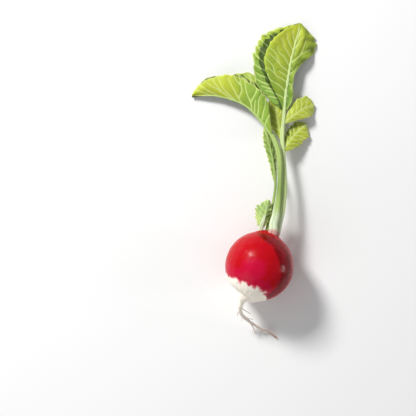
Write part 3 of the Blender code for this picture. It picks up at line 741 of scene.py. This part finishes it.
def stalk_look(name, collar, foot, body=(STALK_PALE, STALK_GREEN), shade_depth=0.92):
    """Stalk: its collar's colour, then its foot's, then its body's pale and deep green, with pale ribs
    lengthwise and lines of painted shade round it. The last argument is how deep that painted shade goes."""
    look = new_look(name, roughness=0.4, specular=0.22)
    place = add_node(look, "TexCoord", {})
    fine = add_node(look, "Mapping",
                    {"Vector": place.outputs["UV"], "Scale": (26, 3, 1)}).outputs[0]
    turn = add_node(look, "SeparateXYZ", {0: place.outputs["UV"]}).outputs[0]
    lines = fit(look, noise(look, fine, 1.0, 4), 0.35, 0.65)
    reach = mark(look, "reach")
    colour = ramp(look, reach, [(0.0, collar), (0.030, collar), (0.046, foot), (0.085, foot),
                                (0.16, body[0]), (0.25, body[1]), (0.42, body[0]),
                                (0.75, body[0]), (1.0, VEIN_PALE)])
    shade_bands = ramp(look, turn, [(place_round, (band_shade, band_shade, band_shade)) for place_round, band_shade in STALK_SHADE_BANDS])
    green = fit(look, reach, 0.10, 0.30)
    thin = fit(look, reach, 1.05, 0.6)
    # Painted shade: lines darkened by their place round the stalk, fading near its foot and tip.
    band_shade = times(look, times(look, shade_bands, green), thin)
    colour = mix(look, times(look, band_shade, shade_depth), colour, STALK_SHADE)
    colour = mix(look, times(look, times(look, lines, 0.45), green), colour, STALK_LINE)
    feed(look, "Base Color", colour)
    roughness_between(look, noise(look, fine, 2.0, 2), 0.34, 0.5)
    bump(look, noise(look, fine, 1.6, 3), 0.16 * MM, 0.8)
    return look


leaf_top = leaf_look("leaf_upper_side", LEAF_GREEN, LEAF_LIME, vein_strength=0.85)
leaf_under = leaf_look("leaf_underside", UNDER_GREEN, UNDER_LIME, vein_strength=0.95)
blade_looks = (leaf_top, leaf_under)


def upright_widths(along):
    """The end lobe's right half, the crest of its left fold, its outer margin, and the fold's depth."""
    right = np.maximum(profile(UPRIGHT_RIGHT, along), 0.3) * ragged(along, 8, 0.04, 1.0)
    crest = np.maximum(profile(UPRIGHT_CREST, along), 0.2) * ragged(along, 10, 0.02, 2.0)
    outer = np.maximum(profile(UPRIGHT_OUTER, along), 0.4) * ragged(along, 9, 0.03, 3.0)
    return right, crest, outer, eased(3.5 * along) * eased(4 * (1 - along))


def upright_section(along, side, line_height):
    """The end lobe: a narrow right half, and a left half that folds under itself in a pleat."""
    out = np.abs(side)
    right_width, crest, outer, depth = upright_widths(along)
    rib = line_height - RIB_SINK
    right_edge = profile(UPRIGHT_RIGHT_EDGE, along)
    bow = UPRIGHT_BOW * np.sin(math.pi * out) * eased(3 * along - 1)
    wave = MARGIN_WAVE * out ** 2 * np.sin(MARGIN_TURNS * along)
    right_height = rib + (right_edge - rib) * out ** 1.3 + bow + wave
    top = rib + PLEAT_RISE * depth + CREST_WAVE * depth * np.sin(CREST_TURNS * along)
    edge = profile(UPRIGHT_OUTER_EDGE, along) + FLAP_WAVE * (1 + np.sin(FLAP_TURNS * along + 1)) * depth
    foot = np.maximum(top - PLEAT_DROP * depth, edge + 0.3)
    under = np.maximum(crest - PLEAT_UNDERCUT * depth, 0.5 * crest)
    weights = curve_through(PLEAT_PLACES, np.eye(len(PLEAT_PLACES)), out)
    wide = np.column_stack([0 * along, 0.52 * crest, crest, 0.5 * (crest + under), under + 0.3, outer])
    tall = np.column_stack([rib, rib + 0.7 * (top - rib), top, 0.5 * (top + foot), foot, edge])
    left_across = np.sum(weights * wide, axis=1)
    left_height = np.sum(weights * tall, axis=1)
    return (np.where(side >= 0, out * right_width, -left_across),
            np.where(side >= 0, right_height, left_height))


def upright_dress(places, along, side):
    """Veins, puckered blade between them, and painted shade in the pleat, on the flap and on the right
    half.
    """
    out = np.abs(side)
    right_width, crest, outer, depth = upright_widths(along)
    on_right = side >= 0
    on_flap = ~on_right & (out > 0.6)
    middle_gap, middle_reach = drawn_vein_gap(places, UPRIGHT_VEINS)
    flap_gap, flap_reach = drawn_vein_gap(places, FLAP_VEINS)
    gap = np.where(on_flap, flap_gap, middle_gap)
    reach = np.where(on_flap, flap_reach, middle_reach)
    beyond = -upright_section(along, side, 0 * along)[0] - crest
    pleat_shadow_width = (profile(PLEAT_SHADOW_WIDTHS, along) + SHADE_WAVE * np.sin(PLEAT_SHADOW_TURNS[0] * along)
                   + SHADE_FINE_WAVE * np.sin(PLEAT_SHADOW_TURNS[1] * along))
    pleat_shadow = on_flap * eased((pleat_shadow_width - beyond) / 0.5)
    margin = np.where(on_right, (1 - out) * right_width, (1 - out) * (outer - crest) * 2.6)
    calm = np.minimum(eased((1 - out) / 0.1), eased(np.abs(out - PLEAT_PLACES[2]) / 0.06))
    relief = (PUCKER * (1 - near(gap, PUCKER_WIDTH)) * calm
              - RIB_CHANNEL * near(out * crest, RIB_WIDTH))
    vein = near(gap, VEIN_WIDTH - VEIN_TAPER * reach)
    vein = vein * eased((1 - out) / 0.05) * (1 - 0.8 * pleat_shadow)
    folds = ripples(places[:, :2], 7.0, seed=9)
    flap_shade_patches = on_flap * eased(0.25 * (6 - beyond) * (ripples(places[:, :2], 2.6, seed=15) + 0.1))
    right_half_shade = on_right * eased((along - 0.42) / 0.12) * eased((out - 0.12) / 0.3)
    right_half_shade = right_half_shade * eased(0.35 + 0.45 * folds)
    rib_side_shade = on_right * near(out * right_width, 0.9)
    low_right_shade = on_right * (1 - eased(along / 0.45)) * (1 - eased((out - 0.25) / 0.3))
    # Painted shade: the pleat's shadow, patches on the flap, the right half, beside the rib and low down.
    shade = np.maximum.reduce([0.95 * pleat_shadow, 0.6 * flap_shade_patches, 0.6 * right_half_shade, 0.6 * rib_side_shade,
                               0.55 * low_right_shade])
    tone = 0.10 + 0.95 * along - 0.25 * on_right - 0.35 * on_flap * (1 - 0.5 * eased((out - 0.8) / 0.2))
    return relief, {"vein": vein, "edge": near(margin, 0.34), "tone": tone,
                    "shade": shade * (1 - 0.75 * vein)}


def add_leaflet(name, node, slot, looks, route, widths, heights, seed, shaded=(0, 0), pale_foot=0,
                teeth=7, tooth=0.06, columns=56, rows=84):
    """A side leaflet on its own short vein. widths holds its left and right profiles, and heights its
    vein's and its edge's. shaded is the side, -1 or 1, that takes painted shade, and how far along the
    leaflet that painted shade reaches. pale_foot whitens its foot."""
    path = smooth_path(route, 60)

    def width_at(along, side):
        width = np.where(side > 0, profile(widths[1], along), profile(widths[0], along))
        return np.maximum(width, 0.3) * ragged(along, teeth, tooth, seed)

    def section(along, side, line_height):
        out = np.abs(side)
        vein_height = profile(heights[0], along)
        edge_height = profile(heights[1], along)
        wave = MARGIN_WAVE * np.sin(LEAFLET_TURNS * along + 2) * out ** 2
        return (side * width_at(along, side),
                vein_height + (edge_height - vein_height) * out ** 1.5 + wave)

    def dress(places, along, side):
        out = np.abs(side)
        width = width_at(along, side)
        rib_gap = out * width
        gap = vein_gap(along, out, LEAFLET_LENGTH, LEAFLET_VEINS, 0.26, round(10 * seed), spread=0.07)
        valley = near(np.minimum(gap, 0.8 * rib_gap + 0.02), 1.1)
        relief = LEAFLET_PUCKER * (1 - valley) * eased((1 - out) / 0.15)
        vein = np.maximum(near(gap, 0.30 - 0.1 * out) * eased((1 - out) / 0.08),
                          near(rib_gap, 0.42))
        vein = np.maximum(vein, pale_foot * (1 - eased((along - 0.1) / 0.35)))
        # Painted shade on the shaded side, fading along the leaflet.
        shade = shaded[1] * (1 - eased((along - shaded[1]) / 0.3)) * eased(1.1 * side * shaded[0] + 0.35)
        shade *= 0.8 + 0.4 * ripples(places, 3.0, seed=6)
        return relief, {"vein": vein, "edge": near((1 - out) * width, 0.28),
                        "tone": 0.75 + 0.15 * along + 0.1 * side,
                        "shade": np.clip(shade, 0, 1) * (1 - 0.7 * vein)}

    add_blade(name, node, slot, looks, path, section, dress, LEAFLET_LEAN, columns, rows)


upright_path = stalk_path(STALK_FEET["upright"], UPRIGHT_ROUTE, LEAF_POINTS)
# The upright stalk is painted paler, with fainter painted shade, than the arched one: painted light that
# lifts it out of the arched stalk's shadow.
add_stalk("upright_stalk", "upright_leaf", "leaf_green",
          stalk_look("upright_leaf_stalk_painted_light", STALK_PINK, STALK_WHITE, (STALK_PAINTED_LIGHT, STALK_PAINTED_LIGHT_GREEN), shade_depth=0.3),
          upright_path, UPRIGHT_RADII, STALK_FLATNESS, seed=5)
add_blade("upright_end_lobe", "upright_leaf", "leaf_green", blade_looks, upright_path[UPRIGHT_LOBE_START:],
          upright_section, upright_dress, UPRIGHT_LEAN, columns=150, rows=200)
add_leaflet("upright_left_leaflet", "upright_leaf", "leaf_green", blade_looks,
            [(11.5, 60.0, 7.3), (10.0, 65.8, 6.3), (8.8, 71.6, 6.0), (8.2, 80.8, 5.0)],
            ({0: 0.5, 0.25: 3.0, 0.6: 5.0, 0.85: 4.6, 0.95: 2.8, 1: 0.4},
             {0: 0.5, 0.4: 1.8, 0.8: 2.4, 1: 0.5}),
            ({0: 7.3, 0.4: 6.3, 0.7: 5.8, 1: 4.6},
             {0: 6.8, 0.5: 5.4, 1: 4.4}), seed=1.3, shaded=(-1, 0.15), teeth=9)
add_leaflet("upright_upper_leaflet", "upright_leaf", "leaf_green", blade_looks,
            [(12.2, 68.8, 7.0), (17.6, 73.2, 6.6), (22.4, 76.2, 4.4), (26.8, 77.4, 1.6)],
            ({0: 0.6, 0.3: 3.8, 0.65: 5.4, 0.86: 4.5, 0.95: 2.8, 1: 0.3},
             {0: 0.6, 0.25: 3.0, 0.65: 4.8, 0.86: 4.2, 0.95: 2.6, 1: 0.3}),
            ({0: 7.0, 0.4: 6.6, 0.7: 4.4, 1: 1.6},
             {0: 6.6, 0.4: 5.8, 0.75: 2.6, 1: 0.7}), seed=2.1)
add_leaflet("upright_lower_leaflet", "upright_leaf", "leaf_green", blade_looks,
            [(11.5, 55.2, 8.3), (14.4, 59.6, 6.4), (18.2, 64.2, 3.8), (23.0, 68.4, 2.0)],
            ({0: 0.6, 0.25: 2.8, 0.6: 4.2, 0.88: 3.0, 1: 0.6},
             {0: 1.2, 0.15: 3.9, 0.55: 5.2, 0.88: 4.0, 1: 0.6}),
            ({0: 8.3, 0.35: 6.4, 0.7: 3.8, 1: 2.0},
             {0: 7.6, 0.35: 4.4, 0.7: 2.2, 1: 0.8}), seed=3.4, shaded=(-1, 0.6), tooth=0.08)

HAIR_LENGTH = 0.9
HAIR_RADIUS = 0.035
HAIR_GREEN = (0.62, 0.72, 0.38)
HAIR_PALE = (0.82, 0.86, 0.66)
hair_look = new_look("leaf_hair", roughness=0.5)
colour = mix(hair_look, noise(hair_look, place_on(hair_look), 400), HAIR_GREEN, HAIR_PALE)
feed(hair_look, "Base Color", colour)


def add_hairs(name, path, radii, node, slot, count, seed):
    """Fine pale bristles that stand out from a stalk and its midrib, leaning towards the leaf's tip."""
    draw = np.random.default_rng(seed)
    forward, side, up = level_frames(np.gradient(path, axis=0))
    thick = spread_radii(path, radii)
    shape = bmesh.new()
    for row in draw.integers(len(path) // 12, len(path) - 6, count):
        turn = draw.uniform(-0.3, math.pi + 0.3)
        ring = side[row] * math.cos(turn) + up[row] * math.sin(turn)
        foot = (path[row] + side[row] * thick[row] * math.cos(turn)
                + up[row] * thick[row] * STALK_FLATNESS * math.sin(turn))
        heading = Vector(ring + 0.5 * forward[row] + draw.normal(size=3) * 0.25).normalized()
        length = HAIR_LENGTH * draw.uniform(0.5, 1.2)
        stance = Matrix.Translation((Vector(foot) + heading * length * 0.4) * MM) @ \
            heading.to_track_quat("Z", "Y").to_matrix().to_4x4()
        bmesh.ops.create_cone(shape, cap_ends=True, segments=3, radius1=HAIR_RADIUS * MM,
                              radius2=0.2 * HAIR_RADIUS * MM, depth=length * MM, matrix=stance)
    add_piece(name, finished_mesh(name, shape), node, slot, hair_look)


add_hairs("upright_hairs", upright_path, UPRIGHT_RADII, "upright_leaf", "leaf_green", count=260, seed=31)

# The arched leaf bends over to the left. Its blade is folded along the midrib, so both halves lie on one
# side of it: the front half on top, light and full of veins, and the back half under it, showing past its
# margin. Its stalk stands on the crown and has bristles too.
ARCHED_ROUTE = [(6.6, 20.4, 17.3), (8.0, 25.4, 16.2), (9.0, 31.7, 14.9), (9.8, 41.0, 13.2),
                (9.7, 51.8, 11.4), (8.1, 58.6, 10.6), (4.6, 65.3, 9.6), (-2.9, 74.2, 7.9),
                (-7.7, 78.0, 6.8), (-14.1, 80.5, 5.4), (-20.6, 82.0, 4.4), (-26.9, 82.3, 3.3),
                (-32.2, 82.2, 2.2)]
ARCHED_RADII = [2.2, 2.0, 1.7, 1.3, 1.1, 1.1, 1.2, 1.25, 1.2, 1.05, 0.9, 0.8, 0.7, 0.6, 0.5, 0.42, 0.4,
                0.3]
ARCHED_LOBE_START = 169
ARCHED_LEAN = 0.45
# Widths of the halves, and heights of their margins, at places from 0 to 1 along the blade.
ARCHED_FRONT = {0: 0.6, 0.06: 2.4, 0.12: 4.9, 0.18: 7.7, 0.26: 9.0, 0.34: 9.6, 0.44: 10.2, 0.55: 11.2,
                0.66: 10.2, 0.76: 8.4, 0.86: 6.4, 0.96: 2.8, 1: 0.5}
ARCHED_BACK = {0: 0.6, 0.15: 2.8, 0.24: 7.0, 0.32: 12.8, 0.4: 14.6, 0.5: 13.6, 0.6: 10.8, 0.7: 9.6,
               0.8: 9.0, 0.9: 5.9, 1: 0.5}
ARCHED_FRONT_EDGE = {0: 10.0, 0.15: 11.2, 0.4: 10.6, 0.6: 8.4, 0.8: 5.8, 1: 2.4}
ARCHED_BACK_EDGE = {0: 8.2, 0.2: 4.4, 0.32: 0.5, 0.5: 0.5, 0.8: 0.5, 1: 1.6}
# The side veins of its front half, as lines seen from above.
ARCHED_VEINS = [
    [(2.9, 67.6), (4.0, 70.6), (4.9, 72.6)],
    [(1.4, 69.6), (2.0, 73.2), (2.9, 77.4), (3.0, 80.2)],
    [(-0.6, 71.7), (-0.2, 76.0), (-0.1, 79.7), (1.2, 82.7)],
    [(-1.9, 73.1), (-2.0, 77.3), (-1.7, 79.6)],
    [(-3.2, 74.6), (-3.9, 78.7), (-5.5, 82.0), (-6.5, 86.1), (-6.8, 89.3)],
    [(-3.8, 79.0), (-1.5, 83.1), (-1.0, 85.1)],
    [(-8.2, 78.5), (-10.3, 81.7), (-12.6, 85.7), (-15.0, 90.5)],
    [(-9.2, 81.9), (-8.2, 84.4), (-8.8, 87.1), (-9.3, 89.8)],
    [(-8.7, 87.0), (-10.6, 88.8), (-11.9, 90.8)],
    [(-10.8, 79.4), (-14.3, 82.6), (-17.0, 85.3), (-19.8, 90.6)],
    [(-12.9, 80.5), (-18.0, 84.0), (-22.6, 86.7), (-26.7, 89.2)],
    [(-18.0, 84.0), (-20.6, 87.2), (-22.4, 89.8)],
    [(-19.6, 82.2), (-24.2, 84.4), (-28.4, 87.2)],
    [(-24.0, 82.6), (-27.4, 84.0), (-30.0, 85.0)]]
ARCHED_BLADE_LENGTH = 52
BACK_VEINS = np.arange(-0.02, 0.95, 0.09)
# How the front half bulges and waves, and how far the back half turns under the rib and drops.
FRONT_BOW = 0.9
FRONT_FINE_WAVE = 0.2
FRONT_TURNS = (24, 61)
BACK_SHADE_TURNS = (57, 91)
BACK_TURN = 0.9
BACK_DROP = 1.6


def arched_widths(along):
    """How far the front and the back half reach from the rib."""
    teeth = ragged(along, 14, 0.02 + 0.05 * eased(1 - along / 0.3), 1.0)
    front = np.maximum(profile(ARCHED_FRONT, along), 0.3) * teeth
    back = np.maximum(profile(ARCHED_BACK, along), 0.3) * ragged(along, 9, 0.03, 2.0)
    return front, back


def arched_section(along, side, line_height):
    """Both halves go to the right of the rib: the front one rises, and the back one drops under it."""
    out = np.abs(side)
    front_width, back_width = arched_widths(along)
    rib = line_height - RIB_SINK
    front_edge = profile(ARCHED_FRONT_EDGE, along)
    front_height = (rib + (front_edge - rib) * out ** 0.8 + FRONT_BOW * np.sin(math.pi * out)
                    + MARGIN_WAVE * out ** 2 * np.sin(FRONT_TURNS[0] * along)
                    + FRONT_FINE_WAVE * out ** 3 * np.sin(FRONT_TURNS[1] * along))
    back_edge = profile(ARCHED_BACK_EDGE, along)
    drop = np.minimum(BACK_DROP, 0.6 * (rib - back_edge)) * eased(out / 0.2)
    low = rib - drop
    back_height = low + (back_edge - low) * eased((out - 0.1) / 0.9)
    turn_under = BACK_TURN * np.sin(math.pi * np.minimum(out / 0.25, 1)) * eased(8 * along)
    across = np.where(side >= 0, out * front_width, back_width * out - turn_under)
    return across, np.where(side >= 0, front_height, back_height)


def arched_dress(places, along, side):
    """Veins, puckered blade between them, and a painted shadow on the back half just past the front margin.
    """
    out = np.abs(side)
    front = side >= 0
    front_width, back_width = arched_widths(along)
    drawn_gap, reach = drawn_vein_gap(places, ARCHED_VEINS)
    back_gap = vein_gap(along, out, ARCHED_BLADE_LENGTH, BACK_VEINS, 0.12, 32)
    gap = np.where(front, drawn_gap, back_gap)
    pucker = PUCKER * (1 - near(gap, PUCKER_WIDTH)) * eased((1 - out) / 0.1)
    channel = RIB_CHANNEL * near(out * front_width, RIB_WIDTH)
    relief = np.where(front, pucker - channel, -pucker)
    width = np.where(front, front_width, back_width)
    vein = near(gap, VEIN_WIDTH - VEIN_TAPER * np.where(front, reach, out)) * eased((1 - out) / 0.05)
    # Painted shadow of the front margin on the back half, with a wavering border.
    beyond = out * back_width - front_width
    uneven = (SHADE_WAVE * np.sin(BACK_SHADE_TURNS[0] * along)
              + SHADE_FINE_WAVE * np.sin(BACK_SHADE_TURNS[1] * along + 1))
    shade = np.where(front, 0.0, 0.9 * (1 - eased((beyond - 1.3 - uneven) / 0.8)))
    tone = np.where(front, 0.15 + 0.75 * eased((along - 0.3) / 0.4), 0.3 + 0.5 * out)
    return relief, {"vein": vein, "edge": near((1 - out) * width, 0.32), "tone": tone,
                    "shade": shade * (1 - 0.3 * vein)}


arched_path = stalk_path(STALK_FEET["arched"], ARCHED_ROUTE, LEAF_POINTS)
add_stalk("arched_stalk", "arched_leaf", "leaf_green",
          stalk_look("arched_leaf_stalk", STALK_PINK, STALK_WHITE),
          arched_path, ARCHED_RADII, STALK_FLATNESS, seed=8)
add_blade("arched_blade", "arched_leaf", "leaf_green", blade_looks, arched_path[ARCHED_LOBE_START:],
          arched_section, arched_dress, ARCHED_LEAN, columns=160, rows=190)
add_hairs("arched_hairs", arched_path, ARCHED_RADII, "arched_leaf", "leaf_green", count=240, seed=32)

# The narrow leaf is young: a thin round stalk on the crown, low beside the others, with fine bristles and a
# slender toothed blade at its end.
NARROW_ROUTE = [(4.3, 20.0, 14.6), (5.4, 24.9, 13.4), (6.9, 31.6, 11.6), (7.9, 39.0, 9.6),
                (7.3, 47.0, 7.8), (5.9, 55.0, 6.2), (4.3, 61.4, 5.2), (2.9, 66.4, 4.8)]
NARROW_RADII = [0.95, 0.8, 0.7, 0.65, 0.65, 0.6, 0.55, 0.45, 0.35, 0.25, 0.1]
NARROW_FLATNESS = 0.9
# The narrow leaf's greens are darker than the other leaves': painted shade, for where it lies low among
# them.
NARROW_SHADE_DARK = (0.07, 0.14, 0.018)
NARROW_SHADE_GREEN = (0.15, 0.26, 0.035)

narrow_path = stalk_path(STALK_FEET["narrow"], NARROW_ROUTE, count=200)
add_stalk("narrow_stalk", "narrow_leaf", "leaf_green",
          stalk_look("narrow_leaf_stalk", STALK_PALE, STALK_GREEN),
          narrow_path, NARROW_RADII, NARROW_FLATNESS, seed=2)
narrow_looks = (leaf_look("narrow_leaf_shaded_upper_side", NARROW_SHADE_DARK, NARROW_SHADE_GREEN, vein_strength=0.6),
                leaf_under)
# The blades of both young leaves run along the ends of their stalks.
add_leaflet("narrow_blade", "narrow_leaf", "leaf_green", narrow_looks,
            np.vstack([narrow_path[94:194:11], narrow_path[-1:]]),
            ({0: 0.5, 0.12: 1.2, 0.35: 1.7, 0.6: 2.4, 0.85: 2.0, 1: 0.4},
             {0: 0.5, 0.3: 1.2, 0.65: 2.4, 0.88: 1.8, 1: 0.4}),
            ({0: 9.4, 0.25: 7.6, 0.62: 5.8, 1: 4.8},
             {0: 9.0, 0.25: 7.2, 0.62: 4.6, 1: 4.4}), seed=4.2,
            shaded=(1, 0.7), teeth=11, tooth=0.13, columns=36, rows=120)
add_hairs("narrow_hairs", narrow_path, NARROW_RADII, "narrow_leaf", "leaf_green", count=110, seed=33)

# The small base leaf is the youngest, short and pale, with fine bristles. It stands on the crown, and its
# jagged blade reaches almost down to it.
SMALL_ROUTE = [(1.9, 22.1, 17.4), (3.2, 27.2, 16.6), (4.6, 31.6, 15.2)]
SMALL_RADII = [1.3, 1.1, 0.9, 0.7, 0.55, 0.45, 0.3]
YOUNG_GREEN = (0.16, 0.28, 0.050)
YOUNG_PALE = (0.30, 0.45, 0.15)

small_path = stalk_path(STALK_FEET["small"], SMALL_ROUTE, count=90)
add_stalk("small_stalk", "small_base_leaf", "leaf_pale",
          stalk_look("young_leaf_stalk", STALK_WHITE, STALK_WHITE),
          small_path, SMALL_RADII, STALK_FLATNESS, seed=3)
pale_looks = (leaf_look("young_leaf_upper_side", YOUNG_GREEN, YOUNG_PALE, vein_strength=0.8),
              leaf_look("young_leaf_underside", YOUNG_GREEN, YOUNG_PALE, vein_strength=0.9))
add_leaflet("small_blade", "small_base_leaf", "leaf_pale", pale_looks,
            [small_path[point] for point in (18, 36, 54, 72, 89)],
            ({0: 2.4, 0.3: 4.2, 0.5: 4.9, 0.75: 3.4, 1: 0.8},
             {0: 1.6, 0.3: 2.4, 0.6: 2.8, 0.85: 1.8, 1: 0.4}),
            ({0: 17.1, 0.4: 17.4, 1: 15.2}, {0: 16.6, 0.5: 15.8, 1: 14.9}), seed=5.6,
            shaded=(1, 1.0), pale_foot=0.8, tooth=0.13)
add_hairs("small_hairs", small_path, SMALL_RADII, "small_base_leaf", "leaf_pale", count=50, seed=34)

# The floor is a plain pale table top that the radish lies on. It is no part of the radish. Soft studio
# light falls on it, and the camera looks straight down.
FLOOR_SIZE = 4.0
FLOOR_GREY = (0.80, 0.80, 0.79)
FLOOR_PALE = (0.84, 0.84, 0.83)
FRAME_WIDTH = 199.68
FRAME_CENTRE = (-24.48, 27.84)
MIDDLE_HEIGHT = 10
CAMERA_LENS = 180
SENSOR = 36
LIT_POINT = (0, 0.03, 0.01)
DAYLIGHT = (0.95, 0.97, 1.0, 1)
DAYLIGHT_STRENGTH = 0.32

floor_shape = bmesh.new()
bmesh.ops.create_grid(floor_shape, x_segments=1, y_segments=1, size=FLOOR_SIZE / 2)
floor_mesh = finished_mesh("floor", floor_shape)
floor_look = new_look("pale_floor", roughness=0.75)
colour = mix(floor_look, noise(floor_look, place_on(floor_look), 6, 3), FLOOR_GREY, FLOOR_PALE)
feed(floor_look, "Base Color", colour)
floor_mesh.materials.append(floor_look)
floor = new_object("floor", floor_mesh)


def soft_light(name, direction, distance, size, power):
    """A square soft light that faces the radish from this direction, in metres and watts."""
    light = bpy.data.lights.new(name, "AREA")
    light.shape = "SQUARE"
    light.size = size
    light.energy = power
    lamp = new_object(name, light)
    toward = Vector(direction).normalized()
    lamp.location = Vector(LIT_POINT) + toward * distance
    lamp.rotation_euler = toward.to_track_quat("Z", "Y").to_euler()


soft_light("key_light", (-0.50, 0.58, 0.64), distance=0.9, size=0.2, power=9.4)
soft_light("fill_light", (-0.62, -0.60, 0.50), distance=0.9, size=0.7, power=2.0)
soft_light("rim_light", (0.97, -0.1, 0.16), distance=0.8, size=0.1, power=1.2)
world = bpy.data.worlds.new("studio")
world.use_nodes = True
background = world.node_tree.nodes["Background"]
background.inputs["Color"].default_value = DAYLIGHT
background.inputs["Strength"].default_value = DAYLIGHT_STRENGTH
bpy.context.scene.world = world

camera = bpy.data.cameras.new("camera")
camera.sensor_width = SENSOR
camera.lens = CAMERA_LENS
stand = new_object("camera", camera)
stand.location = (FRAME_CENTRE[0] * MM, FRAME_CENTRE[1] * MM,
                  (FRAME_WIDTH * CAMERA_LENS / SENSOR + MIDDLE_HEIGHT) * MM)
bpy.context.scene.camera = stand
bpy.context.scene.view_settings.view_transform = "Standard"
